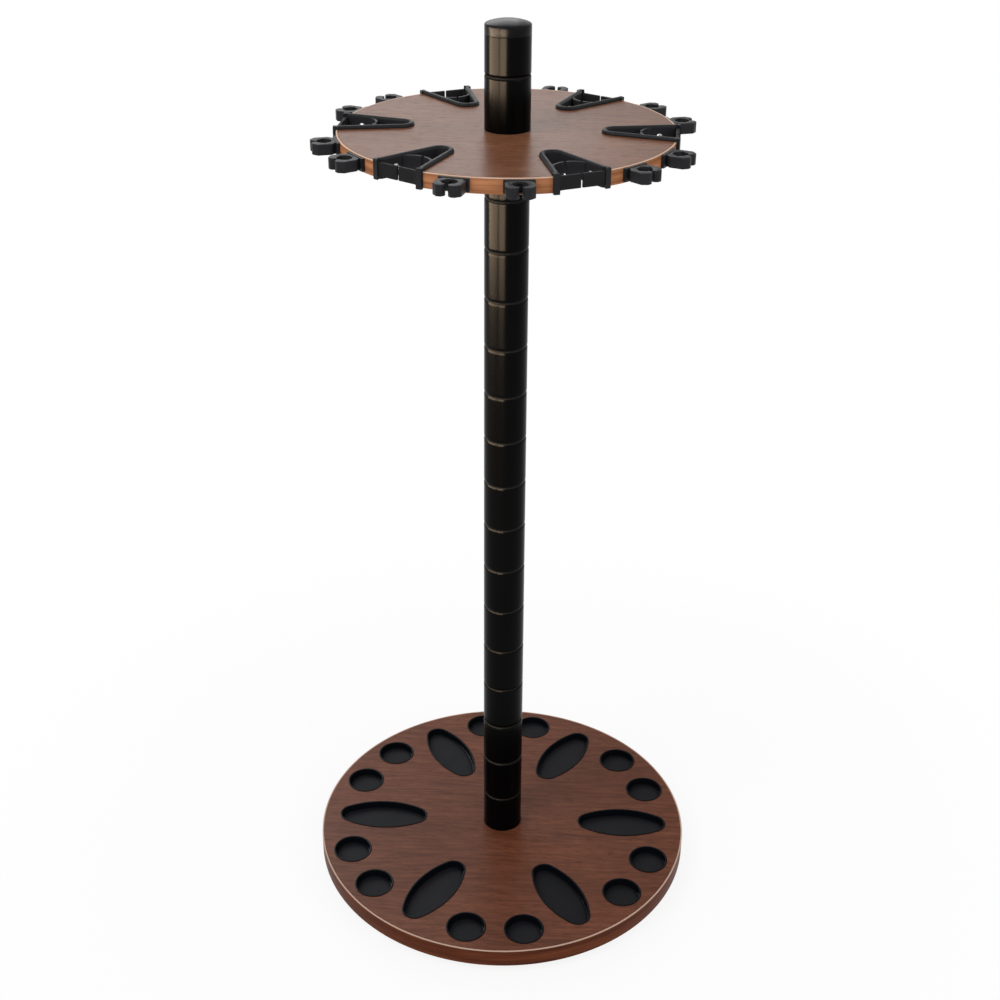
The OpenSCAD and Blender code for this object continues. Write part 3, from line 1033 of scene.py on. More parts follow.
class RingedTube(Recipe):
    """A tube with a rolled groove at every pitch above its foot."""

    title = "ringed tube"
    rows_per_pitch = 22
    inner_rows = 4
    facets = 72
    gathering = 0.93
    hollowness = 0.6
    plain_end = 0.005

    def inputs(self) -> dict[str, str]:
        """Names the tree's inputs.

        Returns:
            The tube's sizes in metres, and how many rows of points it has.
        """
        return {
            "Radius": "Float", "Wall": "Float", "Foot": "Float", "Length": "Float", "Pitch": "Float",
            "Groove width": "Float", "Groove depth": "Float", "Rows": "Int",
        }

    def wire(self) -> Term:
        """Rolls a grid up: its rows gather at the grooves, and the last three go down inside and back out.

        Returns:
            The closed tube.
        """
        g = self.graph
        rows, pitch, length = self.given("Rows"), self.given("Pitch"), self.given("Length")
        size = {"Size X": 1.0, "Size Y": 1.0, "Vertices X": rows, "Vertices Y": self.facets + 1}
        grid = g.add("GeometryNodeMeshGrid", {}, size)
        u, v, _ = g.parts(g.add("GeometryNodeInputPosition", {}, {}))
        row = ((u + 0.5) * (rows - 1)).rounded()
        bay = row / (rows - self.inner_rows) * (length / pitch)
        gathered = bay - g.maths("SINE", bay * math.tau) * (self.gathering / math.tau)
        height = (gathered * pitch).at_most(length)
        near = (height / pitch).rounded()
        off = abs(height - near * pitch) / self.given("Groove width") * 2.0
        rolled = (near > 0.5) * (near * pitch < length - self.plain_end)
        bite = ((1.0 - off * off).at_least(0.0) ** self.hollowness) * rolled * self.given("Groove depth")
        inner = (row > rows - 3.5) * (row < rows - 1.5)
        ended = row > rows - 3.5
        radius = self.given("Radius") - bite * (1.0 - ended) - inner * self.given("Wall")
        z = height * (1.0 - ended) + length * inner * (row < rows - 2.5) + self.given("Foot")
        angle = (v + 0.5) * math.tau
        place = g.vector(g.maths("COSINE", angle) * radius, g.maths("SINE", angle) * radius, z)
        rolled_up = g.add("GeometryNodeSetPosition", {}, {"Geometry": grid, "Position": place})
        return g.add("GeometryNodeMergeByDistance", {}, {"Geometry": rolled_up, "Distance": 1e-6})


class TaperedRun(Recipe):
    """Runs a section along a V with a round end, as the frame of a dual clip."""

    title = "tapered run"
    tip_points = 22

    def inputs(self) -> dict[str, str]:
        """The V's end centre, end radius, slope and reach, in metres and radians."""
        return {"Centre": "Float", "End radius": "Float", "Slope": "Float", "Reach": "Float"}

    def wire(self) -> Term:
        """Draws the V through three points, rounds its tip and sweeps the section.

        Returns:
            The swept frame, closed at both ends.
        """
        g = self.graph
        radius, slope, reach = self.given("End radius"), self.given("Slope"), self.given("Reach")
        tip = self.given("Centre") - radius / g.maths("SINE", slope)
        half = (reach - tip) * g.maths("TANGENT", slope)
        index = g.add("GeometryNodeInputIndex", {}, {})
        side = 1.0 - index
        place = g.vector(tip + (reach - tip) * abs(side), half * side, 0.0)
        line = g.add("GeometryNodeMeshLine", {}, {"Count": 3})
        line = g.add("GeometryNodeSetPosition", {}, {"Geometry": line, "Position": place})
        path = g.add("GeometryNodeMeshToCurve", {}, {"Mesh": line})
        tip_sockets = {"Curve": path, "Count": self.tip_points, "Radius": radius}
        path = g.add("GeometryNodeFilletCurve", {"mode": "POLY"}, tip_sockets)
        path = g.add("GeometryNodeSetCurveNormal", {"mode": "Z_UP"}, {"Curve": path})
        section = g.add("GeometryNodeMeshToCurve", {}, {"Mesh": self.given("Geometry")})
        return g.add("GeometryNodeCurveToMesh", {}, {"Curve": path, "Profile Curve": section, "Fill Caps": True})


# ---------------------------------------------------------------- pieces


class Kind(Enum):
    """How a station of the rack is fitted out."""

    SINGLE = "single"
    DUAL = "dual"

    def angles(self) -> list[float]:
        """The angles of the stations of this kind, in degrees."""
        return [360.0 / STATIONS * i for i in range(STATIONS) if (i % DUAL_EVERY == 0) == (self is Kind.DUAL)]


class Side(Enum):
    """The side of a dual clip, as seen from outside the rack."""

    LEFT = -1
    RIGHT = 1

    @property
    def flip(self) -> Matrix:
        """What brings a right-hand shape to this side."""
        return Matrix.Diagonal((1, self.value, 1, 1))


def dressed(mesh: bpy.types.Mesh, finish: Finish) -> None:
    """Gives a mesh one finish all over."""
    mesh.materials.clear()
    mesh.materials.append(finish.material())


@dataclass
class Piece:
    """One finished piece and what it stands for."""

    name: str
    mesh: bpy.types.Mesh
    finish: Finish
    slot: str
    nodes: Sequence[str]
    body: str = RACK

    def place(self) -> bpy.types.Object:
        """Puts the piece into the scene and hides the nodes that it stands for.

        Returns:
            The piece's object.
        """
        piece = stood(self.name, self.mesh)
        dressed(self.mesh, self.finish)
        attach(piece, self.body)
        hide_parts(*self.nodes)
        LOG.info("%s: %d faces, for %s", self.name, len(self.mesh.polygons), ", ".join(self.nodes))
        return piece


@dataclass
class Workshop:
    """What every sub-assembly works with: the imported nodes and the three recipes."""

    nodes: dict[str, bpy.types.Object]
    round_the_rack: RoundTheRack = field(default_factory=RoundTheRack)
    ringed_tube: RingedTube = field(default_factory=RingedTube)
    tapered_run: TaperedRun = field(default_factory=TaperedRun)

    def dress(self, names: Iterable[str], finish: Finish) -> None:
        """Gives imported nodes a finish.

        Args:
            names: the nodes.
            finish: what they are dressed in.
        """
        for name in names:
            dressed(self.nodes[name].data, finish)
            LOG.info("%s: packed node in %s", name, finish.name)

    def copies(
        self,
        mesh: bpy.types.Mesh,
        finish: Finish,
        kind: Kind,
        place: Sequence[float] = (0, 0, 0),
        turn: Sequence[float] = (0, 0, 0),
        first: float = 0.0,
        spin: float = 0.0,
        seed: int = 1,
    ) -> bpy.types.Mesh:
        """Copies a piece to every station of a kind.

        Args:
            mesh: the piece, in its own place or at the origin.
            finish: its finish.
            kind: the stations that it goes to.
            place: where it goes in the station's frame, in millimetres.
            turn: how it is turned there, in radians about X, Y and Z.
            first: how far all stations are turned, in degrees.
            spin: how far each copy may be turned about its own axis, in radians.
            seed: what the random turns start from.

        Returns:
            All copies as one mesh.
        """
        dual = kind is Kind.DUAL
        values = {
            "Stations": STATIONS // DUAL_EVERY if dual else STATIONS,
            "Leave out every": 0 if dual else DUAL_EVERY,
            "First angle": math.radians(first),
            "Place": tuple(p * MM for p in place),
            "Turn": tuple(turn),
            "Spin": spin,
            "Seed": seed,
        }
        return self.round_the_rack.run(mesh, finish, values)


def joined(name: str, meshes: Sequence[bpy.types.Mesh], smooth: float = SMOOTH) -> bpy.types.Mesh:
    """Joins meshes into one.

    Args:
        name: the new mesh's name.
        meshes: what goes into it.
        smooth: the angle in degrees from which an edge stays sharp.

    Returns:
        The new mesh.
    """
    work = bmesh.new()
    for mesh in meshes:
        work.from_mesh(mesh)
    made = bpy.data.meshes.new(name)
    work.to_mesh(made)
    work.free()
    return smoothed(made, smooth)


def carved(mesh: bpy.types.Mesh, room: bpy.types.Mesh, smooth: float = SMOOTH) -> bpy.types.Mesh:
    """Cuts a room out of a mesh, and makes one skin of the shells that overlap in it.

    Args:
        mesh: the mesh to cut.
        room: the closed space that stays free.
        smooth: the angle in degrees from which an edge stays sharp.

    Returns:
        The cut mesh.
    """
    block, tool = (stood(m.name, m) for m in (mesh, room))
    cut = block.modifiers.new("cut", "BOOLEAN")
    cut.operation, cut.solver, cut.use_self, cut.object = "DIFFERENCE", "EXACT", True, tool
    made = worked_out(block)
    bpy.data.objects.remove(tool)
    return tidied(made, smooth)


@dataclass(frozen=True)
class Screw:
    """A pan head screw with a cross recess, its head upwards and seated at the origin."""

    length: float
    head_r: float = 3.0
    head_h: float = 1.9
    shank_r: float = 1.75
    pitch: float = 1.2
    ridge: float = 0.7
    core: float = 0.72
    taper: int = 3
    recess_half: float = 0.42
    recess_reach: float = 0.56
    recess_depth: float = 0.85
    flat_from: float = 1.7
    steps: int = 32

    def profile(self) -> list[Flat]:
        """The screw's side, from its tip to the middle of its head.

        Returns:
            Points of radius and height.
        """
        found: list[Flat] = [(POLE, -self.length)]
        turns = int(self.length / self.pitch)
        for i in reversed(range(turns)):
            z = -self.length * i / turns
            grip = self.shank_r * min(1.0, (turns - i) / self.taper)
            found += [(grip * self.core, z - self.ridge), (grip, z - self.ridge / 2), (grip * self.core, z)]
        crown = ((1.0, 0.0), (1.0, 0.5), (0.95, 0.95), (0.84, 1.4), (0.66, 1.75))
        flat = (0.5, 0.36, 0.24, 0.12)
        found += [(self.head_r * share, z) for share, z in crown]
        found += [(self.head_r * share, self.head_h) for share in flat]
        return found + [(POLE, self.head_h)]

    def sunk(self, x: float, y: float, z: float) -> float:
        """How far a point of the head's flat lies down in the recess."""
        arm = min(abs(x), abs(y)) < self.recess_half and max(abs(x), abs(y)) < self.head_r * self.recess_reach
        return self.recess_depth if arm and z > self.flat_from else 0.0

    def mesh(self, name: str) -> bpy.types.Mesh:
        """The screw, turned from its profile.

        Args:
            name: the mesh's name.

        Returns:
            The mesh.
        """
        angles = [math.tau * i / self.steps for i in range(self.steps)]
        rings = []
        for r, z in self.profile():
            flat = ((r * math.cos(a), r * math.sin(a)) for a in angles)
            rings.append([(x, y, z - self.sunk(x, y, z)) for x, y in flat])
        return Shell().skin(rings).mesh(name)


# ---------------------------------------------------------------- the base


def band_section(radius: float, thick: float, low: float, top: float) -> list[Flat]:
    """Section of an edge band with eased corners.

    Args:
        radius: the rim's radius.
        thick: the band's thickness.
        low: its lower edge.
        top: its upper edge.

    Returns:
        Points of radius and height.
    """
    inner = radius - thick
    return eased([(inner, low), (radius, low), (radius, top), (inner, top)], 0.95, 4)


@dataclass
class Base:
    """The base panel with its band, lined sockets, oval trays, and rubber feet."""

    radius: float = 184.15
    low: float = 8.0
    top: float = BASE_TOP
    band: float = 1.5
    station_r: float = 157.0
    tray_r: float = 122.5
    cup_r: float = 18.2
    rim: float = 0.8
    rim_h: float = 0.6
    wall: float = 1.0
    depth: float = 6.0
    mat: float = 2.0
    tray: tuple[float, float, float] = (45.0, 20.5, 12.5)
    proud: float = 0.02
    floor_lap: float = 6.0
    mat_gap: float = 0.15
    mat_edge: tuple[Flat, ...] = ((0.0, -0.35), (0.12, -0.1), (0.4, 0.0), (3.0, -0.12))
    mat_dip: float = 0.14
    foot_r: float = 150.15
    foot_section: tuple[Flat, ...] = ((5.0, 0.0), (11.0, 0.0), (12.0, 8.0), (2.0, 8.0), (2.0, 5.0), (5.0, 5.0))
    foot_seat: float = 5.0

    @property
    def bottom(self) -> float:
        """Depth of a mat's underside."""
        return -self.depth - self.mat

    def liner_section(self) -> list[Flat]:
        """Section of a liner, from under its rim over its wall to its floor.

        Returns:
            Points of distance in from the rim and height from the panel.
        """
        rim, wall, depth = self.rim, self.wall, self.depth
        inner = rim + wall
        corners = [
            (rim, self.bottom - wall), (rim, self.proud), (0.0, self.proud), (0.12, self.rim_h),
            (inner - 0.1, self.rim_h), (inner, -depth + 0.05),
            (inner + wall - self.mat_gap, -depth), (inner + wall, -depth - 0.35), (inner + wall, self.bottom),
        ]
        return eased(corners, 0.22, 2)

    def cup(self) -> Shell:
        """A round cup on its own axis, with its rim on the panel.

        Returns:
            The cup's shell.
        """
        outer = self.cup_r + self.rim
        section = [(outer - d, z) for d, z in self.liner_section()]
        floor = [(0.0, self.bottom), (0.0, self.bottom - self.wall)]
        return Shell().turned(section + floor, 72)

    def oval(self, inset: float, steps: int = 96) -> list[Flat]:
        """A tray's outline, drawn in all round.

        Args:
            inset: how far it is drawn in.
            steps: how many points it has, the same for every inset.

        Returns:
            The outline, anticlockwise.
        """
        a, b, e = self.tray
        big = ((a - e) ** 2 + b * b - e * e) / (2 * (b - e))
        switch = math.atan2(big - b, a - e)
        found = []
        for i in range(steps):
            t = math.tau * i / steps
            c, s = math.cos(t), math.sin(t)
            end = abs(math.atan2(abs(s), abs(c))) < switch
            r = (e if end else big) - inset
            centre = (math.copysign(a - e, c), 0.0) if end else (0.0, -math.copysign(big - b, s))
            found.append((centre[0] + r * c, centre[1] + r * s))
        return found

    def ovals(self, levels: Iterable[Flat]) -> Shell:
        """A skin over the tray's outline at levels of inset and height."""
        return Shell().skin([[(*p, z) for p in self.oval(d)] for d, z in levels])

    def tray_shell(self) -> Shell:
        """An oval tray on its own axis.

        Returns:
            The tray's shell.
        """
        inside = (self.rim + self.wall + self.wall + self.floor_lap, self.bottom)
        under = (self.rim + self.floor_lap, self.bottom - self.wall)
        return self.ovals([under, *self.liner_section(), inside])

    def tray_mat(self) -> Shell:
        """The mat of a tray, with a rounded edge and a face that sinks a little.

        Returns:
            The mat's shell.
        """
        edge = self.rim + 2 * self.wall + self.mat_gap
        return self.ovals([(edge, self.bottom), *((edge + d, -self.depth + z) for d, z in self.mat_edge)])

    def socket_mat(self) -> Shell:
        """The mat of a cup, with the same edge.

        Returns:
            The mat's shell.
        """
        r = self.cup_r - 2 * self.wall - self.mat_gap
        edge = [(r - d, -self.depth + z) for d, z in self.mat_edge]
        profile = [(0.0, self.bottom), (r, self.bottom), *edge, (0.0, -self.depth - self.mat_dip)]
        return Shell().turned(profile, 64)

    def edge_band(self) -> Shell:
        """The band round the rim, with its corners eased."""
        return Shell().turned(band_section(self.radius, self.band, self.low, self.top), 256)

    def foot(self) -> Shell:
        """A rubber foot with a sunk seat for its screw."""
        return Shell().turned(eased(self.foot_section, 0.9, 3), 56)

    def build(self, shop: Workshop) -> list[Piece]:
        """Makes the base's pieces.

        Args:
            shop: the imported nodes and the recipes.

        Returns:
            The pieces, to be placed.
        """
        shop.dress(["base_panel"], WALNUT)
        socket, tray = (self.station_r, 0, self.top), (self.tray_r, 0, self.top)
        cups = shop.copies(self.cup().mesh("cup"), CUP_BLACK, Kind.SINGLE, socket)
        mats = shop.copies(self.socket_mat().mesh("mat"), MAT_GREY, Kind.SINGLE, socket)
        trays = shop.copies(self.tray_shell().mesh("tray"), CUP_BLACK, Kind.DUAL, tray)
        tray_mats = shop.copies(self.tray_mat().mesh("tray mat"), MAT_GREY, Kind.DUAL, tray)
        feet = shop.copies(self.foot().mesh("foot"), RUBBER, Kind.DUAL, (self.foot_r, 0, 0), first=30.0)
        seat = (self.foot_r, 0, self.foot_seat)
        screws = shop.copies(Screw(9.5).mesh("foot screw"), ZINC, Kind.DUAL, seat, (math.pi, 0, 0), 30.0, 3.0, 5)
        return [
            Piece("edge_band_base", self.edge_band().mesh("edge band"), BASE_EDGING_PAINTED_SHADE, "edging", ["base_edge_band"]),
            Piece("cups", cups, CUP_BLACK, "liner", ["socket_cups"]),
            Piece("cup_mats", mats, MAT_GREY, "mat", ["socket_mats"]),
            Piece("trays", trays, CUP_BLACK, "liner", [f"slot_tray_{i}" for i in range(1, 7)]),
            Piece("tray_mats", tray_mats, MAT_GREY, "mat", ["slot_mats"]),
            Piece("feet", feet, RUBBER, "foot", ["rubber_feet"]),
            Piece("screws_of_feet", screws, ZINC, "steel", ["foot_screws"]),
        ]


# ---------------------------------------------------------------- the post


@dataclass
class Post:
    """The ringed post, its short upper length, its cap, and the tie rod inside.

    The cap's profiles are steps in from the tube and up from the end of the tube or the top of the cap's rim.
    """

    radius: float = 19.05
    wall: float = 1.2
    foot: float = 21.5
    pitch: float = 44.45
    bays: int = 16
    panel_top: float = UPPER_TOP
    finial: float = 76.2
    groove: tuple[float, float] = (2.4, 0.55)
    cap_rim: float = 8.5
    cap_rise: float = 3.5
    rim_foot: tuple[Flat, ...] = ((0.45, 0.02), (0.12, 0.12), (0.0, 0.45))
    rim_head: tuple[Flat, ...] = ((0.0, -1.1), (0.10, -0.62), (0.36, -0.22), (0.75, 0.14))
    skirt: tuple[Flat, ...] = ((16.1, -14.0), (17.6, -14.0), (17.7, -13.0), (17.7, 0.02))
    dome_radii: tuple[float, ...] = (17.0, 14.0, 10.5, 7.0, 3.5, 0.0)
    cap_wall: float = 2.0
    cap_bore: float = 16.0
    rod_r: float = 4.0
    rod_core: float = 3.45
    rod_end: float = 3.2
    rod_low: float = 8.4
    rod_above: float = 23.0
    rod_tip: float = 0.6
    lower_thread: float = 34.0
    upper_thread: float = 27.0
    thread_pitch: float = 1.25
    nut_corner: float = 7.5
    nut_face: float = 6.35
    nut_h: float = 6.0
    nut_bore: float = 4.05
    washer_section: tuple[Flat, ...] = ((4.2, 14.4), (11.0, 14.4), (11.0, 16.0), (4.2, 16.0))

    def tube(self, shop: Workshop, foot: float, length: float, finish: Finish) -> bpy.types.Mesh:
        """One length of the post.

        Args:
            shop: the recipes.
            foot: the height of its lower end.
            length: how long it is.
            finish: what it is dressed in.

        Returns:
            The tube's mesh.
        """
        sizes = {
            "Radius": self.radius, "Wall": self.wall, "Foot": foot, "Length": length, "Pitch": self.pitch,
            "Groove width": self.groove[0], "Groove depth": self.groove[1],
        }
        rows = int(round(length / self.pitch * RingedTube.rows_per_pitch)) + RingedTube.inner_rows
        values = {**{name: size * MM for name, size in sizes.items()}, "Rows": rows}
        return shop.ringed_tube.run(bpy.data.meshes.new("tube"), finish, values, 40.0)

    def cap(self) -> Shell:
        """The cap: a skirt in the tube, a rim as wide as the tube and a low dome.

        Returns:
            The cap's shell.
        """
        z, r = self.panel_top + self.finial, self.radius
        rim_top = z + self.cap_rim
        dome_r = (r * r + self.cap_rise**2) / (2 * self.cap_rise)
        centre = z + self.cap_rim + self.cap_rise - dome_r
        dome = [(d, centre + math.sqrt(dome_r**2 - d * d)) for d in self.dome_radii]
        rim = [(r - d, z + h) for d, h in self.rim_foot] + [(r - d, rim_top + h) for d, h in self.rim_head]
        inside = [(0.0, rim_top - self.cap_wall), (self.cap_bore, rim_top - self.cap_wall)]
        return Shell().turned(inside + [(d, z + h) for d, h in self.skirt] + rim + dome, 96)

    def tie_rod(self) -> Shell:
        """The rod, threaded at both ends.

        Returns:
            The rod's shell.
        """
        low, high, tip = self.rod_low, self.panel_top + self.rod_above, self.rod_tip
        side: list[Flat] = [(0.0, low), (self.rod_end, low)]
        threads = ((low + tip, self.lower_thread, self.rod_r), (high - self.upper_thread, high - tip, self.rod_core))
        for start, end, after in threads:
            for i in range(int((end - start) / self.thread_pitch)):
                z = start + self.thread_pitch * i
                side += [(self.rod_core, z), (self.rod_r, z + 0.5), (self.rod_r, z + 0.7)]
            side.append((after, end))
        return Shell().turned(side + [(self.rod_end, high), (0.0, high)], 28)

    def nut(self) -> Shell:
        """The hexagon nut with chamfered corners.

        Returns:
            The nut's shell.
        """
        low, high = self.rod_low, self.rod_low + self.nut_h
        sixth = math.pi / 3
        edges = ((high, "bore"), (low, "bore"), (low, "face"), (low, "side"), (high, "side"), (high, "face"))
        rings = []
        for height, edge in edges:
            ring = []
            for i in range(72):
                a = math.tau * i / 72
                flat = self.nut_corner * math.cos(sixth / 2) / math.cos((a % sixth) - sixth / 2)
                r = {"bore": self.nut_bore, "face": self.nut_face, "side": flat}[edge]
                drop = (flat - self.nut_face - 0.1) * 0.55 if edge == "side" else 0.0
                z = height + (drop if height == low else -drop)
                ring.append((r * math.cos(a), r * math.sin(a), z))
            rings.append(ring)
        return Shell().skin(rings, True)

    def washer(self) -> Shell:
        """The washer, with its punched edges."""
        return Shell().turned(eased(self.washer_section, 0.35, 2), 64)

    def build(self, shop: Workshop) -> list[Piece]:
        """Makes the post's pieces.

        Args:
            shop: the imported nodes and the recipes.

        Returns:
            The pieces, to be placed.
        """
        shop.dress(["foot_plug", "head_plug", "threaded_plug"], PLUG_BLACK)
        length = self.bays * self.pitch
        top, end, pitch = self.foot + length, self.panel_top + self.finial, self.pitch * MM
        lower = Enamel("black enamel of the post", self.foot * MM, top * MM, pitch)
        upper = Enamel("black enamel of the short post", self.panel_top * MM, end * MM, pitch)
        return [
            Piece("post_lower", self.tube(shop, self.foot, length, lower), lower, "post", ["lower_post"]),
            Piece("post_upper", self.tube(shop, self.panel_top, self.finial, upper), upper, "post", ["upper_post"]),
            Piece("cap_of_post", self.cap().mesh("cap"), CAP_BLACK, "cap", ["post_cap"]),
            Piece("rod_of_post", self.tie_rod().mesh("tie rod"), ZINC, "steel", ["tie_rod"]),
            Piece("nut_of_rod", self.nut().mesh("nut"), ZINC, "steel", ["tie_rod_nut"]),
            Piece("washer_of_rod", self.washer().mesh("washer"), ZINC, "steel", ["tie_rod_washer"]),
        ]


# ---------------------------------------------------------------- the upper panel and its clips


@dataclass
class UpperPanel:
    """The upper panel and the six lengths of its edge band."""

    radius: float = 139.7
    low: float = 732.7
    top: float = UPPER_TOP
    band: float = 1.5
    turn: float = -4.0
    bay: float = 60.0
    notch_half: float = 8.73

    @property
    def middle(self) -> float:
        """Height of the middle of the rim."""
        return (self.low + self.top) / 2

    def bands(self) -> Shell:
        """The lengths of band between the notches.

        Returns:
            All six as one shell.
        """
        made = Shell()
        section = band_section(self.radius, self.band, self.low, self.top)
        for a in Kind.DUAL.angles():
            made.turned(section, 40, a + self.turn + self.notch_half, self.bay - 2 * self.notch_half)
        return made

    def build(self, shop: Workshop) -> list[Piece]:
        """Makes the panel's pieces.

        Args:
            shop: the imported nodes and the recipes.

        Returns:
            The pieces, to be placed.
        """
        shop.dress(["upper_panel"], WALNUT_PAINTED_SHEEN)
        return [Piece("edge_band_upper", self.bands().mesh("edge band"), UPPER_EDGING_PAINTED_LIGHT, "edging", ["upper_edge_band"])]


@dataclass
class SingleClips:
    """The open rings on the rim: a gripping ring, its neck and a curved plate, with one screw each."""

    panel: UpperPanel = field(default_factory=UpperPanel)
    bore_r: float = 150.5
    bore: float = 6.0
    relief: float = 1.2
    relief_half: float = 1.08
    flats: float = 22.4
    front: float = 10.5
    bevel: float = 4.0
    ring: tuple[float, float] = (-10.3, -1.3)
    plate: tuple[float, float] = (-11.4, -0.8)
    plate_w: float = 24.0
    plate_t: float = 2.6
    neck: float = 16.0
    slit: float = 2.6
    flare: float = 7.2
    flare_depth: float = 2.4
    ease: float = 0.45
    corner: float = 0.7
    seat_r: float = 3.3
    seat_x: float = 142.2
    seat_depth: float = 4.0
    groove: tuple[Flat, ...] = ((0.30, 0.32), (0.13, 0.12), (-0.13, 0.12), (-0.30, 0.32))

    def bore_outline(self) -> list[Flat]:
        """The bore in plan, with a groove in each side.

        Returns:
            The points, clockwise from one side of the slit to the other.
        """
        start = math.degrees(math.asin(self.slit / 2 / self.bore))
        half = math.degrees(math.asin(self.relief_half / self.bore))
        depth = self.bore + self.relief
        low = [(x, y - depth) for x, y in self.groove]
        high = [(-x, depth - y) for x, y in self.groove]
        middle = (0.0, 0.0)
        first = arc(middle, self.bore, -start, half - 90.0, 12)
        second = arc(middle, self.bore, -90.0 - half, half - 270.0, 28)
        return first + low + second + high + arc(middle, self.bore, -270.0 - half, start - 360.0, 12)

    def outline(self) -> list[Flat]:
        """The ring and neck in plan, about the middle of the bore.

        Returns:
            The outline, anticlockwise.
        """
        half, slit = self.flats / 2, self.slit / 2
        short, throat = half * math.tan(math.pi / 8), math.sqrt(self.bore**2 - slit**2)
        back = self.panel.radius + 0.1 - self.bore_r
        outer = [
            (throat, slit), (self.front - self.flare_depth, slit), (self.front, self.flare / 2),
            (self.front, half - self.bevel), (self.front - self.bevel, half), (-short, half),
            (self.neck / 2 - short - half, self.neck / 2), (back, self.neck / 2),
        ]
        steps = 3
        rounded = eased(outer + [(x, -y) for x, y in reversed(outer)], self.corner, steps)
        return rounded[steps + 1:-steps - 1] + self.bore_outline()

    def clip(self) -> bpy.types.Mesh:
        """One clip in the frame of a station of the panel.

        Returns:
            The clip as one skin.
        """
        top, rear_r, face_r = self.panel.top, self.panel.radius + 0.1, self.panel.radius + self.plate_t
        out = Matrix.Translation((self.bore_r, 0, top))
        ring = Shell().prism(self.outline(), *self.ring, self.ease, self.ease, out)
        seat = arc((0.0, 0.0), self.seat_r, 0.0, 354.0, 59)
        turn = Matrix.Translation((self.seat_x, 0, self.panel.middle)) @ Matrix.Rotation(QUARTER, 4, "Y")
        room = Shell().prism(seat, 0.0, self.seat_depth, place=turn)
        swing, inner = (math.degrees(math.asin(self.plate_w / 2 / r)) for r in (face_r, rear_r))
        face = arc((0, 0), face_r, -swing, swing, 16)
        rear = arc((0, 0), rear_r, inner, -inner, 16)
        plate = Shell().prism(face + rear, *self.plate, self.ease, self.ease, Matrix.Translation((0, 0, top)))
        return carved(joined("clip", [ring.mesh("ring"), plate.mesh("plate")]), room.mesh("seat"))

    def build(self, shop: Workshop) -> list[Piece]:
        """Makes all single clips and their screws.

        Args:
            shop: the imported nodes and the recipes.

        Returns:
            The pieces, to be placed.
        """
        turn = self.panel.turn
        clips = shop.copies(self.clip(), CLIP_BLACK, Kind.SINGLE, first=turn)
        seat, mesh = (self.seat_x, 0, self.panel.middle), Screw(13.5).mesh("clip screw")
        screws = shop.copies(mesh, ZINC_WITH_PAINTED_SHADE, Kind.SINGLE, seat, (0, QUARTER, 0), turn, 3.0, 11)
        return [
            Piece("single_clips", clips, CLIP_BLACK, "clip", [f"rod_clip_{i}" for i in range(1, 13)]),
            Piece("screws_of_single_clips", screws, ZINC_WITH_PAINTED_SHADE, "steel", ["rod_clip_screws"]),
        ]


def signed_area(outline: Sequence[Flat]) -> float:
    """Twice the area of an outline, positive where it runs anticlockwise."""
    return sum(a[0] * b[1] - b[0] * a[1] for a, b in zip(outline, [*outline[1:], outline[0]]))


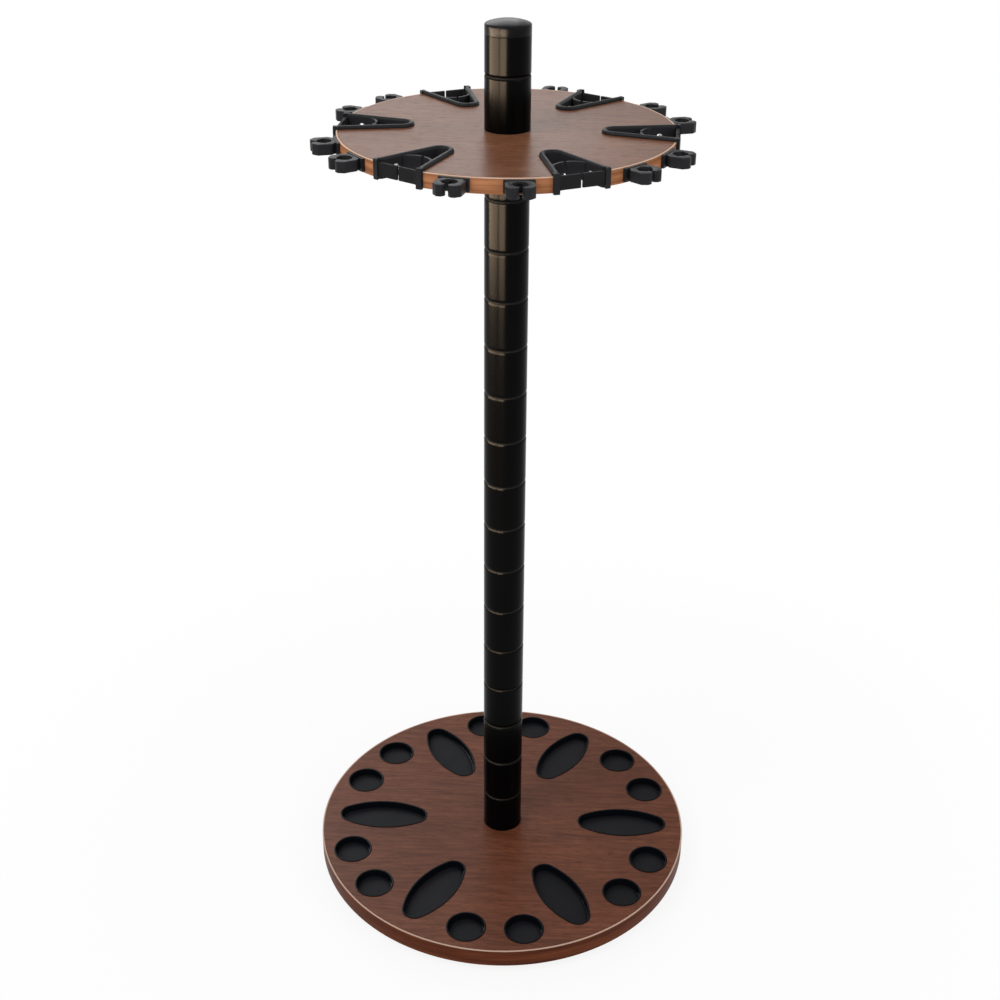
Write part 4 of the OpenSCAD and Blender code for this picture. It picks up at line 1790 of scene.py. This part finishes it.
@dataclass
class DualClips:
    """The tapered frames in the notches, with their uprights, curved fingers, screws and gates."""

    panel: UpperPanel = field(default_factory=UpperPanel)
    depth: float = 62.7
    end_r: float = 11.0
    slope: float = math.radians(13.2)
    bead_w: float = 4.5
    bead_h: float = 3.0
    lap: float = 1.8
    skirt: float = 0.8
    upright_w: float = 4.6
    front: float = 2.6
    back: float = 4.0
    finger_r: float = 18.0
    finger_t: float = 2.0
    finger_in: float = 12.7
    finger_gap: float = 1.6
    finger_rise: float = 1.4
    finger_end: float = 127.0
    gate_t: float = 2.6
    gate_h: float = 11.0
    gate_rise: float = 0.3
    root_r: float = 1.8
    gate_gap: float = 1.0
    room: float = 0.3
    swing: float = math.radians(60.0)
    swing_room: float = 3.5
    ease: float = 0.35
    screw_in: tuple[float, float] = (36.0, 16.0)
    screw_seed: int = 20

    @property
    def centre(self) -> float:
        """Distance of the round end's middle from the post."""
        return self.panel.radius - self.depth + self.end_r

    @property
    def bottom(self) -> float:
        """Height of the frame's lower edge."""
        return self.panel.low - self.skirt

    @property
    def pivot(self) -> Flat:
        """Where a gate's root turns, on the right-hand side."""
        inner = self.half_width(self.end_r, self.panel.radius) - self.upright_w
        return self.panel.radius - self.gate_t / 2, inner - self.root_r / 2

    @property
    def gate_low(self) -> float:
        """Height of the lower edge of gates and fingers."""
        return self.panel.top + self.gate_rise - self.gate_h

    def half_width(self, r: float, x: float) -> float:
        """Half the width of the taper with end radius r, at distance x from the post."""
        return r / math.cos(self.slope) + (x - self.centre) * math.tan(self.slope)

    def frame_section(self) -> list[Flat]:
        """Section of the bead and the wall under it.

        Returns:
            Points of distance out from the bead's middle line, and height.
        """
        half, low, top = self.bead_w / 2, self.bottom, self.panel.top
        wall = self.end_r - self.lap - 0.15 - (self.end_r - half)
        centre = top + self.bead_h - half
        turns = (math.pi * i / 12 for i in range(13))
        crown = [(half * math.cos(a), centre + half * math.sin(a)) for a in turns]
        foot = [(-half, low + 0.3), (-half + 0.3, low), (wall - 0.3, low), (wall, low + 0.3)]
        return [*foot, (wall, top + 0.02), (half - 0.2, top + 0.02), (half, top + 0.25), *crown]

    def frame_mesh(self, shop: Workshop) -> bpy.types.Mesh:
        """The bead and wall, run along both arms and round the end.

        Args:
            shop: the recipes.

        Returns:
            The frame's mesh.
        """
        section = self.frame_section()
        count = len(section)
        mesh = bpy.data.meshes.new("frame section")
        mesh.from_pydata([(x * MM, -z * MM, 0.0) for x, z in section], [(i, (i + 1) % count) for i in range(count)], [])
        values = {
            "Centre": self.centre * MM, "End radius": (self.end_r - self.bead_w / 2) * MM, "Slope": self.slope,
            "Reach": (self.panel.radius - 1.2) * MM,
        }
        return shop.tapered_run.run(mesh, CLIP_BLACK, values, 40.0)

    def upright(self) -> Shell:
        """One upright, on the right-hand side of a clip.

        Returns:
            The upright's two prisms: the lower one hooks over the rim.
        """
        rim = self.panel.radius
        inner = self.half_width(self.end_r, rim) - self.upright_w
        outer = inner + self.upright_w
        x0, r1 = rim - self.back, rim + self.front
        face = [(math.sqrt(r1**2 - y * y), y) for y in (inner, inner + 1.5, inner + 3.0, outer)]
        lip = math.sqrt((rim + 0.1) ** 2 - outer**2)
        notch = self.end_r - self.lap - 0.3
        corner_y = self.half_width(notch, rim - 1.9)
        corner_x = math.sqrt((rim + 0.1) ** 2 - corner_y**2)
        low = [(x0, inner), *face, (lip, outer), (corner_x, corner_y), (x0, self.half_width(notch, x0))]
        high = [(x0, inner), *face, (x0, outer)]
        top = self.panel.top
        made = Shell().prism(low, self.bottom, top + 0.05, self.ease)
        return made.prism(high, top + 0.03, top + self.bead_h - 0.2, 0.0, 0.6)

    def finger(self) -> Shell:
        """One curved spring finger, on the right-hand side of a clip, thicker towards its root.

        Returns:
            The finger's shell.
        """
        x, half, steps, even = self.panel.radius - self.finger_in, self.finger_t / 2, 14, 9
        tip = math.degrees(math.asin((self.finger_gap / 2 + self.finger_t / 2) / self.finger_r))
        outer, inner = [], []
        for i in range(steps + 1):
            a = math.radians(180.0 - tip - (180.0 - self.finger_end - tip) * i / steps)
            swell = 0.7 * max(0.0, (i - even) / (steps - even)) ** 2
            far, near = self.finger_r + half + 0.2 * swell, self.finger_r - half - swell
            outer.append((x + far * math.cos(a), far * math.sin(a)))
            inner.append((x + near * math.cos(a), near * math.sin(a)))
        a = math.radians(180.0 - tip)
        nose = []
        for k in range(1, 6):
            t = math.pi * k / 6
            r = self.finger_r + half * math.cos(t)
            nose.append((x + r * math.cos(a), r * math.sin(a) - half * math.sin(t)))
        plan = outer + inner[::-1] + nose[::-1]
        plan = plan if signed_area(plan) > 0 else plan[::-1]
        low, high = self.gate_low, self.panel.top + self.finger_rise
        return Shell().prism(plan, low, high, self.ease, self.ease)

    def gate_room(self) -> Shell:
        """Room for a gate's root and for its leaf where it swings in, on the right-hand side.

        Returns:
            The room's shell, taller than the frame.
        """
        low, high = self.bottom - 1.0, self.panel.top + self.bead_h + 1.0
        place = Matrix.Translation((*self.pivot, 0.0))
        round_root = arc((0.0, 0.0), self.root_r + self.room, 0.0, 350.0, 35)
        side = self.gate_t / 2 + self.room
        beside = [(-side, -self.swing_room), (0.0, -self.swing_room), (0.0, 0.0), (-side, 0.0)]
        made = Shell().prism(round_root, low, high, place=place)
        return made.prism(beside, low, high, place=place @ Matrix.Rotation(-self.swing, 4, "Z"))

    def leaf(self) -> Shell:
        """One gate leaf, with its root at the origin and its free edge on the -Y side.

        Returns:
            The leaf's shell.
        """
        half = self.gate_t / 2
        length = self.pivot[1] - self.gate_gap / 2 - half
        start = math.degrees(math.asin(half / self.root_r))
        root = arc((0, 0), self.root_r, -90 + start, 270 - start, 22)
        tip = arc((0, -length), half, -180, 0, 10)
        plan = tip + [(half, -length * 0.5)] + root + [(-half, -length * 0.5)]
        return Shell().prism(plan, 0.0, self.gate_h, 0.45, 0.45)

    def gates(self) -> list[Piece]:
        """The twelve gate leaves, each on its own body.

        Returns:
            The leaves, to be placed.
        """
        made = []
        root = Matrix.Translation((*self.pivot, self.gate_low))
        for i, angle in enumerate(Kind.DUAL.angles()):
            station = Matrix.Rotation(math.radians(angle + self.panel.turn), 4, "Z")
            for side in Side:
                name = f"{i + 1}_{side.name.lower()}"
                mesh = Shell().join(self.leaf(), station @ side.flip @ root).mesh("gate leaf")
                made.append(Piece(f"gate_leaf_{name}", mesh, GATE_BLACK, "gate", [f"gate_{name}"], f"gate_{name}"))
        return made

    def screws(self, shop: Workshop) -> bpy.types.Mesh:
        """The four screws of every clip, seated on the inside of its arms.

        Args:
            shop: the recipes.

        Returns:
            All of them as one mesh.
        """
        sets = []
        for k, inside in enumerate(self.screw_in):
            x = self.panel.radius - inside
            for side in Side:
                place = (x, side.value * self.half_width(self.end_r - self.bead_w, x), self.panel.middle)
                turn = (0, QUARTER, side.value * (self.slope - QUARTER))
                mesh, seed = Screw(12.0).mesh("arm screw"), self.screw_seed + 2 * k + side.value
                sets.append(shop.copies(mesh, ZINC, Kind.DUAL, place, turn, self.panel.turn, 3.0, seed))
        return joined("arm screws", sets)

    def build(self, shop: Workshop) -> list[Piece]:
        """Makes the frames, screws and gates.

        Args:
            shop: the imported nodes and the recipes.

        Returns:
            The pieces, to be placed.
        """
        rest, room = Shell(), Shell()
        for side in Side:
            rest.join(self.upright(), side.flip).join(self.finger(), side.flip)
            room.join(self.gate_room(), side.flip)
        one = joined("dual clip", [self.frame_mesh(shop), rest.mesh("uprights and fingers")])
        one = carved(one, room.mesh("room of the gates"))
        clips = shop.copies(one, CLIP_BLACK, Kind.DUAL, first=self.panel.turn)
        return [
            Piece("dual_clips", clips, CLIP_BLACK, "clip", [f"dual_clip_{i}" for i in range(1, 7)]),
            Piece("screws_of_dual_clips", self.screws(shop), ZINC, "steel", ["dual_clip_screws"]),
            *self.gates(),
        ]


# ---------------------------------------------------------------- the studio


WARM = (1.0, 0.74, 0.50)
COOL = (0.97, 0.99, 1.0)
POST_PIECES = ("post_lower", "post_upper", "cap_of_post")
BASE_TOP_PIECES = ("base_panel", "edge_band_base", "cups", "cup_mats", "trays", "tray_mats")


@dataclass(frozen=True)
class Lamp:
    """A soft lamp that the camera doesn't see; a sheen lamp shows only in the gloss of the pieces it names."""

    name: str
    place: tuple[float, float, float]
    size: tuple[float, float]
    power: float
    colour: Colour = WHITE
    aim: float = 0.4
    sheen_on: tuple[str, ...] = ()

    def hang(self) -> None:
        """Puts the lamp into the scene, facing the post."""
        data = bpy.data.lights.new(self.name, "AREA")
        data.shape, data.energy, data.color = "RECTANGLE", self.power, self.colour
        data.size, data.size_y = self.size
        lamp = stood(self.name, data)
        lamp.location = self.place
        lamp.rotation_euler = (Vector((0, 0, self.aim)) - Vector(self.place)).to_track_quat("-Z", "Y").to_euler()
        lamp.visible_camera = False
        if self.sheen_on:
            lamp.visible_diffuse = False
            lit = bpy.data.collections.new(f"lit by the {self.name}")
            for name in self.sheen_on:
                lit.objects.link(bpy.data.objects[name])
            lamp.light_linking.receiver_collection = lit


@dataclass
class Studio:
    """Floor, lamps, world and the camera at the photograph's viewing angle."""

    distance: float = 1.22592
    height: float = 1.0688
    aside: float = -0.00454
    pitch: float = 0.4667
    azimuth: float = math.radians(2.5)
    roll: float = 0.0058
    focal: float = 1.51736
    shift: float = -0.05
    sensor: float = 36.0
    sky: float = 0.55
    floor_half: float = 20.0
    lamps: tuple[Lamp, ...] = (
        Lamp("key", (-1.3, -1.1, 2.3), (1.1, 1.6), 24.0),
        Lamp("fill", (1.8, -1.2, 1.5), (1.4, 1.4), 9.0),
        Lamp("back", (-0.4, 1.9, 1.9), (1.2, 1.2), 10.0),
        Lamp("warm card", (-0.458, -1.163, 0.48), (0.70, 0.62), 60.0, WARM, 0.48, POST_PIECES),
        Lamp("warm side card", (-1.171, -0.438, 0.48), (1.30, 0.62), 100.0, WARM, 0.48, POST_PIECES),
        Lamp("pale card", (-1.06, 1.26, 1.22), (0.80, 1.00), 38.0, COOL, 0.03, BASE_TOP_PIECES),
    )

    def camera(self) -> None:
        """Stands the camera where the photograph was taken from."""
        data = bpy.data.cameras.new("camera")
        data.sensor_width = self.sensor
        data.lens = self.sensor * self.focal
        data.shift_y = self.shift
        data.clip_start, data.clip_end = 0.05, 60.0
        camera = stood("camera", data)
        aim = Matrix.Rotation(self.azimuth, 4, "Z")
        camera.location = aim @ Vector((self.aside, -self.distance, self.height))
        look = aim @ Matrix.Rotation(QUARTER - self.pitch, 4, "X") @ Matrix.Rotation(self.roll, 4, "Z")
        camera.rotation_euler = look.to_euler()
        bpy.context.scene.camera = camera

    def world(self) -> None:
        """Makes an even pale surround that is white where it is seen or mirrored."""
        world = bpy.data.worlds.new("studio")
        bpy.context.scene.world = world
        world.use_nodes = True
        world.node_tree.nodes.clear()
        g = Graph(world.node_tree)
        light = g.add("ShaderNodeBackground", {}, {"Color": WHITE, "Strength": self.sky})
        white = g.add("ShaderNodeBackground", {}, {"Color": WHITE, "Strength": 1.0})
        both = g.add("ShaderNodeMixShader", {}, {0: g.seen(), 1: light, 2: white})
        g.node("ShaderNodeOutputWorld", {}, {"Surface": both})

    def floor(self) -> None:
        """Lays the pale floor."""
        mesh = bpy.data.meshes.new("floor")
        d = self.floor_half
        mesh.from_pydata([(-d, -d, 0), (d, -d, 0), (d, d, 0), (-d, d, 0)], [], [(0, 1, 2, 3)])
        dressed(mesh, StudioFloor("pale floor"))
        floor = stood("floor", mesh)
        floor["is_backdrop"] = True

    def build(self) -> None:
        """Sets the whole studio up."""
        self.camera()
        for lamp in self.lamps:
            lamp.hang()
        self.world()
        self.floor()
        bpy.context.scene.view_settings.view_transform = "Standard"


def corners(box: tuple[Vector, Vector]) -> list[list[float]]:
    """A box as plain lists of numbers."""
    return [[float(v) for v in corner] for corner in box]


def main() -> None:
    """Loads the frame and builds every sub-assembly in order."""
    logging.basicConfig(level=logging.INFO, format="%(message)s", stream=sys.stdout)
    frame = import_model()
    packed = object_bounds()
    shop = Workshop(frame["nodes"])
    panel = UpperPanel()
    for part in (Base(), Post(), panel, SingleClips(panel), DualClips(panel)):
        for piece in part.build(shop):
            piece.place()
    Studio().build()
    {"cad": corners(packed), "visual": corners(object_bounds())}


if __name__ == "__main__":
    main()
